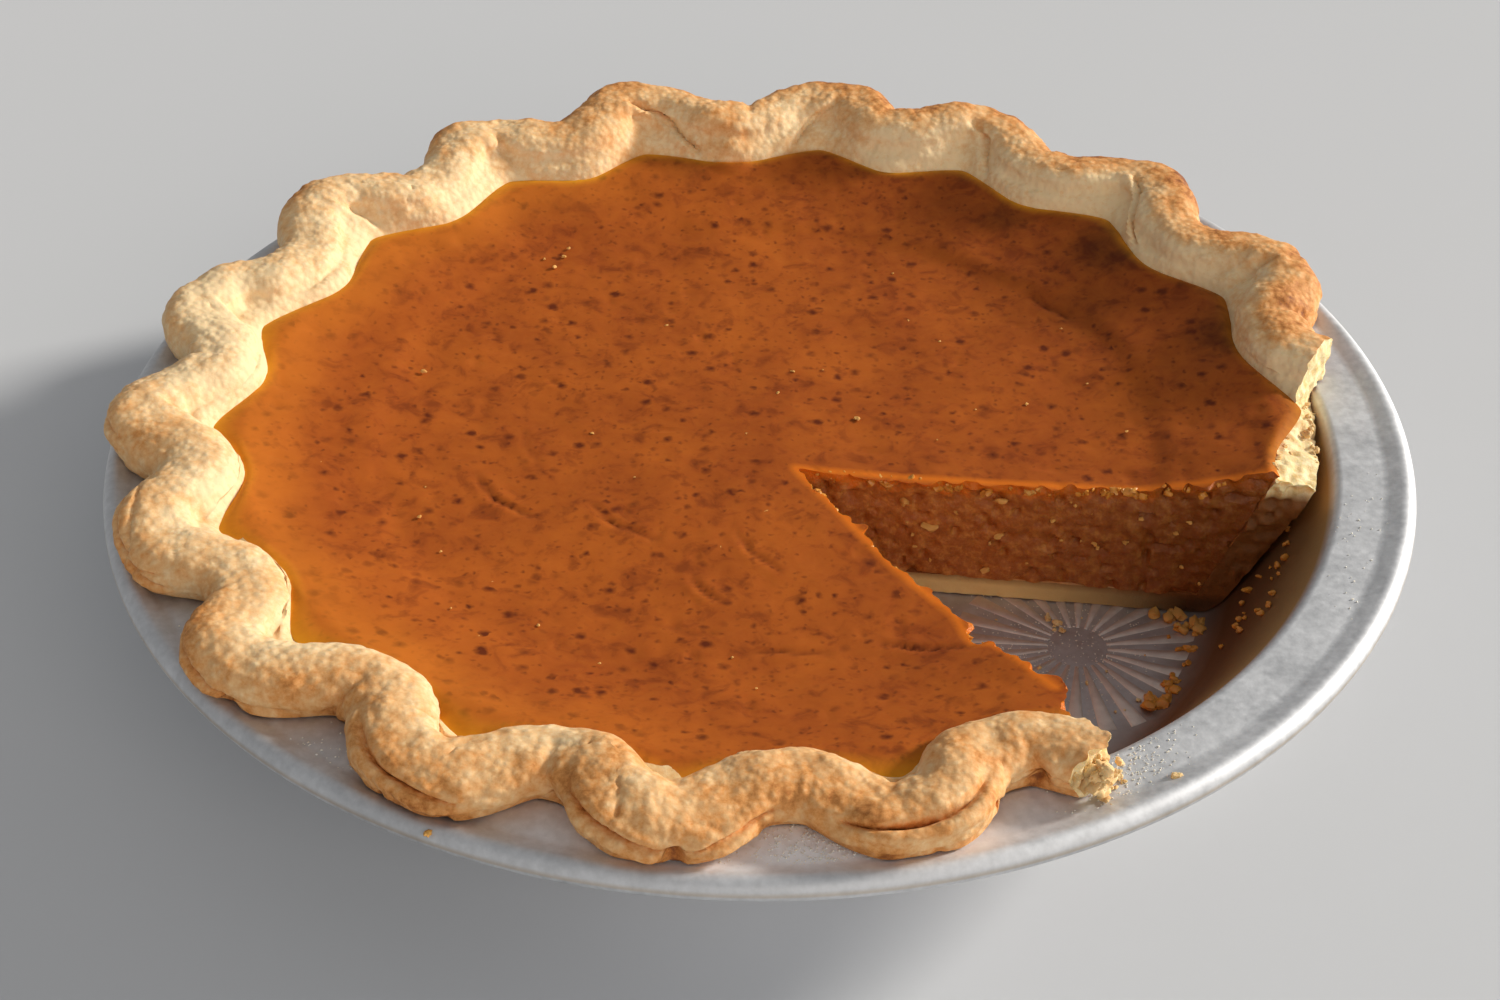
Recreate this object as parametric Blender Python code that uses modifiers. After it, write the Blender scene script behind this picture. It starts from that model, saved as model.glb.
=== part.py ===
"""A pumpkin pie in its tin, with one slice taken out.

The tin is a turned sheet with a rolled edge. The pastry lines it and stands up round the rim in
flutes: one thick rope of dough that winds in and out. Baked custard fills the pastry.
Lengths are in metres, the origin is the middle of the underside of the tin, and +Z is up.
"""
import math
import random

import bmesh
import bpy
import numpy as np

MM = 0.001

# The tin: a nine inch pie tin, ten inches over its rolled edge.
SHEET = 1.0 * MM
FLOOR_CORNER = 94 * MM          # where the floor and the wall would meet, inside
LIP_CORNER = 114 * MM           # where the wall and the flat rim would meet, inside
RIM_TOP = 34 * MM
FLOOR_FILLET = 7 * MM
LIP_FILLET = 2 * MM
BEAD_RADIUS = 2.4 * MM
BEAD_CENTRE = (126.6 * MM, 32.6 * MM)
TIN_STEPS = 60
FILLET_STEPS = 4
BEAD_STEPS = 9

# The pastry: a base, a wall and the fluted rope.
TOUCH_GAP = 0.4 * MM            # left between pieces that rest on each other
BASE_THICK = 4.6 * MM
WALL_THICK = 6.5 * MM           # at its foot
# Directions of the outward flutes, in degrees from +X: pinched by hand, so about 20 apart.
FLUTES = (-1, 22, 43, 63.5, 82, 104.5, 122.5, 143, 164.5, 184, 202, 221.5, 243, 262, 282, 301, 320, 339)
STATIONS = 198
ROPE_RADIUS = 114.8 * MM          # mean distance of the rope from its own middle
ROPE_MIDDLE = (-0.5 * MM, 1.3 * MM)
ROPE_SWING = 5.0 * MM           # how far it winds to each side of its mean
ROPE_HALF_WIDTH = 7.5 * MM
CREST_HEIGHT = 43.8 * MM
CREST_TILT = 1.7 * MM           # higher at the back by this, and lower at the front
UNDERSIDE_LIMIT = 123.6 * MM    # the rope lies on the rim to here, and clears the rolled edge outside it
OVER_BEAD = 36.4 * MM           # height of its side over that edge
LOOSE_WALL = (math.radians(-14), math.radians(20))   # where the wall has shrunk from the tin, and its reach
LOOSE_GAP = 3.4 * MM

# The filling: sunk in the middle, and risen where it meets the pastry.
FILL_RADIUS = 104.2 * MM        # mean, of the line where its top meets the pastry
FILL_RADIUS_SWING = 3.6 * MM    # that line follows the flutes by this
FILL_SHIFT = -1.4 * MM          # its middle lies nearer the front by this
FILL_MIDDLE = 29.8 * MM
FILL_RISE = 7.4 * MM
FILL_FLAT_RADIUS = 40 * MM
FILL_EDGE_RADIUS = 102 * MM
FILL_CURVE = 2.6
FILL_LINE = 36.8 * MM           # height of its top there
OVER_FILLING = 0.8 * MM         # least height of the rope's underside over that line

# The slice that is gone, in plan: its tip, then its front side with a break in it, and its right side.
SLICE_TIP = (7 * MM, -12 * MM)
SLICE_FRONT = [(x * MM, y * MM) for x, y in (
    (12.5, -21.0), (24.6, -42.5), (35.3, -58.5), (37.9, -68.0), (41.4, -68.4), (50.6, -84.5),
    (50.5, -92.0), (53.0, -96.5), (56.5, -102.5), (53.5, -107.5), (48.5, -110.5), (51.0, -128.0), (66.0, -140.0))]
SLICE_RIGHT_END = (98 * MM, -23.6 * MM)
CUTTER_REACH = 150 * MM
CUTTER_TOP = 60 * MM
RAGGED_STEP = 5 * MM
RAGGED_DEPTH = 0.45 * MM

# The length of rim that broke off beside the slice, in plan, and the slope that it left.
BREAK_CORNERS = [(x * MM, y * MM) for x, y in (
    (93.0, -45.0), (95.5, -12.0), (103.5, -5.5), (118.5, 18.5), (128.0, 31.0), (150.0, 31.0), (150.0, -45.0))]
BREAK_HIGH = (98 * MM, 36.5 * MM)
BREAK_LOW = (112 * MM, 32.4 * MM)

TAU = 2 * math.pi
BASE_TOP = SHEET + TOUCH_GAP + BASE_THICK


def smooth_step(x):
    x = np.clip(x, 0.0, 1.0)
    return x * x * (3 - 2 * x)


def rounded(corners, radii, steps):
    """A polyline with an arc of the given radius at each inner corner."""
    points = [corners[0]]
    for before, corner, after, radius in zip(corners, corners[1:], corners[2:], radii):
        p, a, b = (np.array(q) for q in (corner, before, after))
        to_a = (a - p) / np.linalg.norm(a - p)
        to_b = (b - p) / np.linalg.norm(b - p)
        half = math.acos(float(np.clip(to_a @ to_b, -1, 1))) / 2
        bisector = (to_a + to_b) / np.linalg.norm(to_a + to_b)
        centre = p + bisector * radius / math.sin(half)
        start = p + to_a * radius / math.tan(half) - centre
        end = p + to_b * radius / math.tan(half) - centre
        sweep = math.pi - 2 * half
        for i in range(steps + 1):
            t = i / steps
            arc = math.sin((1 - t) * sweep) * start + math.sin(t * sweep) * end
            points.append(tuple(centre + arc / math.sin(sweep)))
    points.append(corners[-1])
    return points


def wall_radius(z):
    """Radius of the inside of the tin's wall at a height."""
    return FLOOR_CORNER + (LIP_CORNER - FLOOR_CORNER) * (z - SHEET) / (RIM_TOP - SHEET)


def tin_profile():
    """Half a section through the tin, from the middle of its floor round the rolled edge to its underside."""
    slope = (LIP_CORNER - FLOOR_CORNER) / (RIM_TOP - SHEET)
    lean = math.atan(slope)
    under_corner = FLOOR_CORNER + SHEET / math.cos(lean) - SHEET * slope
    under_lip = LIP_CORNER + SHEET / math.cos(lean) - SHEET * slope
    bead_r, bead_z = BEAD_CENTRE

    def bead_meets(z):
        drop = z - bead_z
        return math.atan2(drop, -math.sqrt(BEAD_RADIUS ** 2 - drop ** 2))

    first = bead_meets(RIM_TOP)
    last = bead_meets(RIM_TOP - SHEET) - TAU
    bead = []
    for i in range(BEAD_STEPS + 1):
        turn = first + (last - first) * i / BEAD_STEPS
        bead.append((bead_r + BEAD_RADIUS * math.cos(turn), bead_z + BEAD_RADIUS * math.sin(turn)))
    inside = rounded([(0, SHEET), (FLOOR_CORNER, SHEET), (LIP_CORNER, RIM_TOP), bead[0]],
                     [FLOOR_FILLET, LIP_FILLET], FILLET_STEPS)
    outside = rounded([bead[-1], (under_lip, RIM_TOP - SHEET), (under_corner, 0), (0, 0)],
                      [LIP_FILLET - SHEET, FLOOR_FILLET + SHEET], FILLET_STEPS)
    return inside + bead[1:-1] + outside


def turned(name, profile, steps):
    """A solid of revolution about Z."""
    mesh = bpy.data.meshes.new(name)
    edges = [(i, i + 1) for i in range(len(profile) - 1)]
    mesh.from_pydata([(r, 0, z) for r, z in profile], edges, [])
    thing = bpy.data.objects.new(name, mesh)
    screw = thing.modifiers.new("turn", "SCREW")
    screw.steps = steps
    screw.render_steps = steps
    screw.use_merge_vertices = True
    screw.merge_threshold = 0.01 * MM
    return thing


def flute_phase(angle):
    """A whole turn for each flute, and a multiple of it where one reaches out."""
    directions = np.radians(FLUTES + (FLUTES[0] + 360,))
    turned_by = (angle - directions[0]) % TAU + directions[0]
    return np.interp(turned_by, directions, TAU * np.arange(len(directions)))


def uneven(angle, seed, count=5):
    """A smooth wandering value between about -1 and 1 round the pie."""
    draw = random.Random(seed)
    waves = [(draw.randint(2, 15), draw.uniform(0, TAU), draw.uniform(0.5, 1)) for _ in range(count)]
    total = sum(size for _, _, size in waves)
    return sum(size * np.sin(n * angle + shift) for n, shift, size in waves) / total * 1.6


def rope_path(angle):
    """Distance of the middle of the rope from the axis. The flutes lean a little, as pinched ones do."""
    phase = flute_phase(angle)
    swing = ROPE_SWING * (1 + 0.14 * uneven(angle, 7))
    offset = ROPE_MIDDLE[0] * np.cos(angle) + ROPE_MIDDLE[1] * np.sin(angle)
    return ROPE_RADIUS + offset + swing * np.cos(phase - 0.2 * np.sin(2 * phase))


def crest_height(angle):
    lift = 0.5 * MM * np.cos(flute_phase(angle)) + CREST_TILT * np.sin(angle)
    return CREST_HEIGHT + lift + 0.6 * MM * uneven(angle, 11)


def rope_side(angles, half_width, side):
    """Radius of the rope's side at each angle: the line at half_width from its path, out for 1 and in for -1."""
    path_angles = np.linspace(0, TAU, 1080, endpoint=False)
    radii = rope_path(path_angles)
    result = []
    for angle in angles:
        turn = path_angles - angle
        along = radii * np.cos(turn)
        across = radii * np.sin(turn)
        near = (np.abs(across) <= half_width) & (along > 0)
        reach = along[near] + side * np.sqrt(half_width ** 2 - across[near] ** 2)
        result.append(reach.max() if side > 0 else reach.min())
    return np.array(result)


def pastry_inside(angles, z):
    """Radius of the pastry's inner face at a height: round at its foot, and fluted where the filling ends."""
    foot = wall_radius(BASE_TOP) - WALL_THICK
    line = FILL_RADIUS + FILL_SHIFT * np.sin(angles) + FILL_RADIUS_SWING * np.cos(flute_phase(angles))
    return foot + (line - foot) * (z - BASE_TOP) / (FILL_LINE - BASE_TOP)


def loose_gap(angles, z):
    """How far the pastry's wall stands off the tin: hardly at all, but for one stretch beside the slice."""
    middle, reach = LOOSE_WALL
    away = np.abs((angles - middle + math.pi) % TAU - math.pi) / reach
    return TOUCH_GAP + LOOSE_GAP * (1 - smooth_step(away)) * smooth_step((z - 8 * MM) / (RIM_TOP - 8 * MM))


def pastry_rings(angles):
    """The pastry's section at each angle, as rings from under the base, over the rope, to the base's top."""
    ones = np.ones_like(angles)
    outward = 0.5 + 0.5 * np.cos(flute_phase(angles))
    crest = crest_height(angles)
    rings = []

    under = BASE_TOP - BASE_THICK
    foot = rounded([(0, under), (FLOOR_CORNER - TOUCH_GAP / 2, under), (wall_radius(18 * MM), 18 * MM)],
                   [FLOOR_FILLET], 2)[1:-1]
    for radius, z in foot:
        rings.append((radius * ones - TOUCH_GAP / 2, z * ones))
    for z in (20 * MM, RIM_TOP - 1 * MM):
        rings.append((wall_radius(z) - loose_gap(angles, z), z * ones))
    rest = RIM_TOP + TOUCH_GAP
    rings.append((LIP_CORNER - loose_gap(angles, RIM_TOP), rest * ones))

    # The rope's outer side bulges at its foot and is creased above it, where the edge was tucked under.
    tuck = outward * (0.5 + 0.5 * uneven(angles, 19))
    underside = rope_side(angles, 0.82 * ROPE_HALF_WIDTH, 1)
    rings.append((np.clip(underside, LIP_CORNER + 0.3 * MM, UNDERSIDE_LIMIT), rest * ones))
    for width, height, bulge in ((0.97, 0.17, 1.0), (0.93, 0.34, -1.0), (1.0, 0.50, 0.0), (0.86, 0.78, 0.0),
                                 (0.50, 0.95, 0.0)):
        side = rope_side(angles, width * ROPE_HALF_WIDTH, 1)
        z = np.maximum(rest + (crest - rest) * height, OVER_BEAD)
        rings.append((side + bulge * MM * tuck, z))
    rings.append((rope_path(angles), crest))
    for width, drop in ((0.50, 0.5), (0.85, 2.3), (0.97, 4.6)):
        height = np.maximum(crest - drop * MM, FILL_LINE + OVER_FILLING)
        rings.append((rope_side(angles, width * ROPE_HALF_WIDTH, -1), height))
    for z in (FILL_LINE, 20 * MM, BASE_TOP):
        rings.append((pastry_inside(angles, z), z * ones))
    return rings


def filling_top(radius):
    rise = np.clip((radius - FILL_FLAT_RADIUS) / (FILL_EDGE_RADIUS - FILL_FLAT_RADIUS), 0, 1)
    return FILL_MIDDLE + FILL_RISE * rise ** FILL_CURVE


def filling_rings(angles):
    """The filling's section at each angle, as rings from its underside up the pastry and in over its top."""
    ones = np.ones_like(angles)
    rings = []
    for z in (BASE_TOP + TOUCH_GAP, 20 * MM, FILL_LINE):
        rings.append((pastry_inside(angles, z) - TOUCH_GAP, z * ones))
    edge = rings[-1][0]
    for inset in (2 * MM, 6 * MM, 12 * MM):
        radius = edge - inset
        rings.append((radius, filling_top(radius)))
    for radius in (80 * MM, 60 * MM, 30 * MM):
        rings.append((radius * ones, filling_top(radius) * ones))
    return rings


def lofted(name, angles, rings, flip):
    """A closed solid through rings about Z, shut at both ends on the axis. flip turns the quads' diagonals."""
    count = len(angles)
    graph = bmesh.new()
    grid = []
    for radius, z in rings:
        grid.append([graph.verts.new((r * math.cos(a), r * math.sin(a), h))
                     for a, r, h in zip(angles, radius, z)])
    first = graph.verts.new((0, 0, rings[0][1][0]))
    last = graph.verts.new((0, 0, rings[-1][1][0]))
    for i in range(count):
        j = (i + 1) % count
        graph.faces.new((first, grid[0][j], grid[0][i]))
        graph.faces.new((last, grid[-1][i], grid[-1][j]))
        for low, high in zip(grid, grid[1:]):
            a, b, c, d = low[i], low[j], high[j], high[i]
            pieces = ((a, b, d), (b, c, d)) if flip else ((a, b, c), (a, c, d))
            for piece in pieces:
                graph.faces.new(piece)
    return finished(name, graph)


def finished(name, graph):
    """An object from a bmesh, with its faces pointing out."""
    bmesh.ops.recalc_face_normals(graph, faces=graph.faces)
    mesh = bpy.data.meshes.new(name)
    graph.to_mesh(mesh)
    graph.free()
    return bpy.data.objects.new(name, mesh)


def ragged(points, seed):
    """The same line with a point every few millimetres, each set off it by a little, as a knife leaves it."""
    draw = random.Random(seed)
    result = [points[0]]
    for (x0, y0), (x1, y1) in zip(points, points[1:]):
        length = math.hypot(x1 - x0, y1 - y0)
        pieces = max(1, round(length / RAGGED_STEP))
        for i in range(1, pieces + 1):
            off = 0 if i == pieces else draw.uniform(-RAGGED_DEPTH, RAGGED_DEPTH)
            t = i / pieces
            result.append((x0 + (x1 - x0) * t - (y1 - y0) / length * off,
                           y0 + (y1 - y0) * t + (x1 - x0) / length * off))
    return result


def prism(name, outline, low, high):
    """A solid over an outline in plan, from height low to height high."""
    graph = bmesh.new()
    face = graph.faces.new([graph.verts.new((x, y, low)) for x, y in outline])
    made = bmesh.ops.extrude_face_region(graph, geom=[face])
    for part in made["geom"]:
        if isinstance(part, bmesh.types.BMVert):
            part.co.z = high
    return finished(name, graph)


def slice_cutter():
    """What the missing slice took up: between its ragged front side and its straight right side."""
    tip, end = np.array(SLICE_TIP), np.array(SLICE_RIGHT_END)
    far = tip + (end - tip) * (CUTTER_REACH - tip[0]) / (end[0] - tip[0])
    front = ragged([SLICE_TIP] + SLICE_FRONT, 5)
    right = ragged([tuple(far), SLICE_TIP], 6)
    outline = front + [(CUTTER_REACH, SLICE_FRONT[-1][1])] + right[:-1]
    return prism("slice_cutter", outline, -5 * MM, CUTTER_TOP)


def break_cutter():
    """What the broken length of rim took up. Its underside slopes out and is rough, as torn pastry is."""
    draw = random.Random(9)
    cutter = prism("break_cutter", BREAK_CORNERS, RIM_TOP, CUTTER_TOP)
    graph = bmesh.new()
    graph.from_mesh(cutter.data)
    bmesh.ops.triangulate(graph, faces=graph.faces)
    bmesh.ops.subdivide_edges(graph, edges=graph.edges, cuts=3, use_grid_fill=True)
    slope = (BREAK_LOW[1] - BREAK_HIGH[1]) / (BREAK_LOW[0] - BREAK_HIGH[0])
    for vert in graph.verts:
        if vert.co.z < RIM_TOP + 1 * MM:
            vert.co.z = max(BREAK_HIGH[1] + slope * (vert.co.x - BREAK_HIGH[0]), BREAK_LOW[1] - 1 * MM)
            vert.co.z += draw.uniform(-0.7, 0.7) * MM
        elif vert.co.z < CUTTER_TOP - 1 * MM:
            vert.co.x += draw.uniform(-0.6, 0.6) * MM
    bmesh.ops.triangulate(graph, faces=graph.faces)
    graph.to_mesh(cutter.data)
    graph.free()
    return cutter


def cut(thing, cutter):
    boolean = thing.modifiers.new("cut", "BOOLEAN")
    boolean.object = cutter
    boolean.operation = "DIFFERENCE"


def material(name, colour, roughness, metallic=0.0):
    made = bpy.data.materials.new(name)
    made.use_nodes = True
    shader = made.node_tree.nodes["Principled BSDF"]
    shader.inputs["Base Color"].default_value = (*colour, 1)
    shader.inputs["Roughness"].default_value = roughness
    shader.inputs["Metallic"].default_value = metallic
    return made


def collection(name):
    made = bpy.data.collections.new(name)
    bpy.context.scene.collection.children.link(made)
    return made


def main():
    for thing in list(bpy.data.objects):
        bpy.data.objects.remove(thing)
    pie = collection("pumpkin pie")
    cutters = collection("cutters")

    angles = np.linspace(0, TAU, STATIONS, endpoint=False)
    tin = turned("tin", tin_profile(), TIN_STEPS)
    crust = lofted("crust", angles, pastry_rings(angles), False)
    filling = lofted("filling", angles, filling_rings(angles), True)
    for thing, look in ((tin, material("aluminium", (0.62, 0.62, 0.63), 0.38, 1.0)),
                        (crust, material("baked pastry", (0.72, 0.45, 0.19), 0.7)),
                        (filling, material("pumpkin custard", (0.46, 0.13, 0.02), 0.4))):
        thing.data.materials.append(look)
        pie.objects.link(thing)
    tin.data.shade_smooth()

    slice_gone = slice_cutter()
    rim_gone = break_cutter()
    for cutter in (slice_gone, rim_gone):
        cutter.display_type = "WIRE"
        cutter.hide_render = True
        cutters.objects.link(cutter)
    cut(crust, slice_gone)
    cut(crust, rim_gone)
    cut(filling, slice_gone)


main()
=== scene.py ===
"""The looks of a pumpkin pie in its aluminium tin, with one slice taken out.

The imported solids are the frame. This script dresses them: the spun tin with its pressed sunbursts, the
hand-fluted pastry, the custard and its cut faces, the crumbs and flour, and a plain stage round them.
Lengths are in metres, and a size that is written out is a number of millimetres times MM.
"""
import itertools
import math
import random

import bmesh
import bpy
import numpy as np
from bpy.props import FloatProperty, FloatVectorProperty, IntProperty, PointerProperty
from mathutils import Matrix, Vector
from mathutils.kdtree import KDTree


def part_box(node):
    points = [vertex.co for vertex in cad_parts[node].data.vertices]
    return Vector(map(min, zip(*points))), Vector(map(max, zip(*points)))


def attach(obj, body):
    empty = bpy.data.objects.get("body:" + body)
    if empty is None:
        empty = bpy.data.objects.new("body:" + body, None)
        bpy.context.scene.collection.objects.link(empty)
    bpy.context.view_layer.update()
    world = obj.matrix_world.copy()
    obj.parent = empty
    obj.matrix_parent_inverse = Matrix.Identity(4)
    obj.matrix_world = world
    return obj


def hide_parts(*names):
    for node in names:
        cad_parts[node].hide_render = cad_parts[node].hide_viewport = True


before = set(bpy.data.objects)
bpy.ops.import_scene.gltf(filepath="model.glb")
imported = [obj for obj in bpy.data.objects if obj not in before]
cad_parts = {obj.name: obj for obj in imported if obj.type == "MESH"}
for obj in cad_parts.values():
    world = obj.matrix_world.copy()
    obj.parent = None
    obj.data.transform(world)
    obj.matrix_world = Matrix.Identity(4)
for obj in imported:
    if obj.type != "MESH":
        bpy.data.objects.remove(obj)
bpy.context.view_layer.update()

bl_info = {
    "name": "Pumpkin pie",
    "version": (1, 0, 0),
    "blender": (4, 5, 0),
    "location": "3D View > Sidebar > Pie",
    "description": "Dresses the solids of a pumpkin pie in its tin",
    "category": "Object",
}

MM = 0.001
TAU = 2 * math.pi
# Sockets of the node that mixes two colours: the share of the upper one, the lower one and the upper one.
SHARE, UNDER, OVER = 0, 6, 7

# The tin, as the solids have it.
TIN_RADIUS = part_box("tin")[1].x
SHEET = 1.0 * MM
FLOOR_CORNER = 94 * MM
LIP_CORNER = 114 * MM
RIM_TOP = 34 * MM
FLOOR_FILLET = 7 * MM
LIP_FILLET = 2 * MM
BEAD_RADIUS = 2.4 * MM
BEAD_CENTRE = (TIN_RADIUS - BEAD_RADIUS, 32.6 * MM)

# Here the rim runs up to the rolled edge on a straight ramp that touches it at this angle.
RAMP_ANGLE = math.radians(108)
RAMP_TOP = (BEAD_CENTRE[0] + BEAD_RADIUS * math.cos(RAMP_ANGLE),
            BEAD_CENTRE[1] + BEAD_RADIUS * math.sin(RAMP_ANGLE))
RAMP = ((RAMP_TOP[0] - (RAMP_TOP[1] - RIM_TOP) / math.tan(RAMP_ANGLE - math.pi / 2), RIM_TOP), RAMP_TOP)

# The pastry, as the solids have it.
TOUCH_GAP = 0.4 * MM
BASE_THICK = 4.6 * MM
BASE_TOP = SHEET + TOUCH_GAP + BASE_THICK
WALL_THICK = 6.5 * MM
FLUTES = (-1, 22, 43, 63.5, 82, 104.5, 122.5, 143, 164.5, 184, 202, 221.5, 243, 262, 282, 301, 320, 339)
ROPE_RADIUS = 114.8 * MM
ROPE_MIDDLE = (-0.5 * MM, 1.3 * MM)
ROPE_SWING = 5.0 * MM
ROPE_HALF_WIDTH = 7.5 * MM
CREST_HEIGHT = 43.8 * MM
CREST_TILT = 1.7 * MM
UNDERSIDE_LIMIT = 123.6 * MM
OVER_BEAD = 36.4 * MM
# Beside the cut the wall stands off the tin, most at the first angle, and no longer at the second from it.
LOOSE_WALL = (math.radians(-14), math.radians(20))
LOOSE_GAP = 3.4 * MM
CREST_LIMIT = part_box("crust")[1].z
ROPE_LIMIT = TIN_RADIUS - 0.4 * MM

# The filling, as the solids have it.
FILL_RADIUS = 104.2 * MM
FILL_RADIUS_SWING = 3.6 * MM
FILL_SHIFT = -1.4 * MM
FILL_LINE = 36.8 * MM
OVER_FILLING = 0.8 * MM
# The baked custard sticks to its pastry, so here the gap between the solids is all but closed.
SEAM = 0.05 * MM
FILL_MIDDLE = 29.8 * MM
FILL_RISE = 7.4 * MM
FILL_FLAT_RADIUS = 40 * MM
FILL_EDGE_RADIUS = 102 * MM
FILL_CURVE = 2.6

# The missing slice and the broken rim, in plan.
SLICE_TIP = (7 * MM, -12 * MM)
SLICE_FRONT = [(x * MM, y * MM) for x, y in (
    (12.5, -21.0), (24.6, -42.5), (35.3, -58.5), (37.9, -68.0), (41.4, -68.4), (50.6, -84.5), (50.5, -92.0),
    (53.0, -96.5), (56.5, -102.5), (53.5, -107.5), (48.5, -110.5), (51.0, -128.0), (66.0, -140.0))]
SLICE_RIGHT_END = (98 * MM, -23.6 * MM)
CUTTER_REACH = 150 * MM
CUTTER_BOTTOM = -5 * MM
CUTTER_TOP = 60 * MM
BREAK_CORNERS = [(x * MM, y * MM) for x, y in (
    (93.0, -45.0), (95.5, -12.0), (103.5, -5.5), (118.5, 18.5), (128.0, 31.0), (150.0, 31.0), (150.0, -45.0))]
# The broken wall slopes from here down to there: each is a place along X and a height.
BREAK_HIGH = (98 * MM, 36.5 * MM)
BREAK_LOW = (112 * MM, 32.4 * MM)
BREAK_SLOPE = (BREAK_LOW[1] - BREAK_HIGH[1]) / (BREAK_LOW[0] - BREAK_HIGH[0])

# Folds in the outer side of the rope, where its edge was tucked under. Each runs from one direction and share
# of the rope's height to another, arches by a share of that height, and has a depth.
FOLDS = (
    (275.5, 0.71, 288.5, 0.88, 0.03, 1.9 * MM),
    (254.5, 0.78, 264.0, 0.32, 0.05, 1.8 * MM),
    (264.0, 0.25, 271.5, 0.62, 0.10, 1.1 * MM),
    (235.0, 0.82, 247.5, 0.45, 0.10, 1.5 * MM),
    (214.0, 0.70, 226.0, 0.20, 0.05, 1.2 * MM),
    (196.0, 0.80, 209.0, 0.30, 0.05, 1.2 * MM),
    (179.0, 0.60, 189.0, 0.75, -0.05, 0.8 * MM),
)
# Splits up from the foot of the rope: direction, half the width in degrees, share of the height, depth.
SPLITS = (
    (263.6, 0.80, 0.60, 3.4 * MM),
    (240.5, 0.30, 0.40, 1.2 * MM),
    (246.0, 0.40, 0.30, 1.6 * MM),
    (224.0, 0.45, 0.35, 1.8 * MM),
    (283.0, 0.35, 0.25, 1.0 * MM),
    (292.8, 0.45, 1.10, 1.8 * MM),
)
# Fine cracks in the skin of the filling: where each starts, heading, length, bend over it, and depth.
CRACKS = (
    (-56.2 * MM, -13.5 * MM, -75, 20 * MM, 55, 0.55 * MM),
    (-32.9 * MM, -23.3 * MM, -65, 18 * MM, 50, 0.45 * MM),
    (-4.7 * MM, -32.6 * MM, -68, 15 * MM, 30, 0.35 * MM),
    (-13.0 * MM, -46.3 * MM, -57, 9 * MM, 15, 0.50 * MM),
    (59.4 * MM, 49.5 * MM, -54, 12 * MM, 10, 0.50 * MM),
    (54.0 * MM, 93.0 * MM, -70, 12 * MM, 5, 1.10 * MM),
    (-3.6 * MM, -68.9 * MM, 8, 16 * MM, -20, 0.40 * MM),
    (-20.0 * MM, -60.0 * MM, -30, 14 * MM, 35, 0.20 * MM),
    (-48.0 * MM, 2.0 * MM, -80, 16 * MM, 20, 0.18 * MM),
    (39.0 * MM, -68.5 * MM, 186, 18 * MM, -25, 0.70 * MM),
)
# Painted shadows of the flutes on the skin: the place, the reach and the strength of each patch.
PAINTED_SHADOW_PATCHES = ((79.0 * MM, 61.5 * MM, 13 * MM, 0.75), (99.0 * MM, 26.0 * MM, 13 * MM, 0.75),
                (56.5 * MM, 77.5 * MM, 9 * MM, 0.45), (25.7 * MM, 98.0 * MM, 8 * MM, 0.35),
                (-17.1 * MM, 98.5 * MM, 8 * MM, 0.35), (70.0 * MM, 40.0 * MM, 12 * MM, 0.25))

# The camera of the photograph, as it was fitted to the tin, and the soft light from the front right.
CAMERA_PLACE = (-1.876 * MM, -378.6 * MM, 300.3 * MM)
CAMERA_TILT = math.radians(90 - 37.2)
SENSOR_WIDTH = 36
FRONT_LIGHT_SIZE = math.radians(50)
FRONT_LIGHT_DIRECTION = math.radians(-62)
FRONT_LIGHT_HEIGHT = math.radians(17)
FLOOR_REACH = 12.0


def linear(colour):
    """The linear colour of an sRGB hex value."""
    parts = [int(colour[i:i + 2], 16) / 255 for i in (1, 3, 5)]
    return tuple(c / 12.92 if c <= 0.04045 else ((c + 0.055) / 1.055) ** 2.4 for c in parts)


def colour_property(name, description, code):
    """A colour that a user can change, from its sRGB hex value."""
    return FloatVectorProperty(name=name, description=description, default=linear(code), subtype="COLOR")


def length_property(name, description, size):
    """A length that a user can change."""
    return FloatProperty(name=name, description=description, default=size, subtype="DISTANCE", unit="LENGTH")


def smooth_step(x):
    x = np.clip(x, 0.0, 1.0)
    return x * x * (3 - 2 * x)


def hump(x, width):
    """1 where x is nothing, fading on both sides over the width."""
    return np.exp(-(x / width) ** 2)


def lumps(points, size, seed=0):
    """Smooth noise between about -1 and 1, with lumps of the given size, at an array of points."""
    place = points / size + 17.31 * seed + 0.37
    cell = np.floor(place).astype(np.int64)
    part = place - cell
    part = part * part * part * (part * (part * 6 - 15) + 10)
    total = np.zeros(points.shape[:-1])
    for corner in itertools.product((0, 1), repeat=3):
        key = (cell + np.array(corner)) * np.array([73856093, 19349663, 83492791])
        mixed = (key[..., 0] ^ key[..., 1] ^ key[..., 2]) & 0xFFFFFFFF
        mixed = ((mixed ^ (mixed >> 15)) * 2246822519) & 0xFFFFFFFF
        mixed = ((mixed ^ (mixed >> 13)) * 3266489917) & 0xFFFFFFFF
        value = ((mixed ^ (mixed >> 16)) & 0xFFFF) / 32767.5 - 1
        total += value * np.prod(np.where(corner, part, 1 - part), axis=-1)
    return total * 1.4


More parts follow.
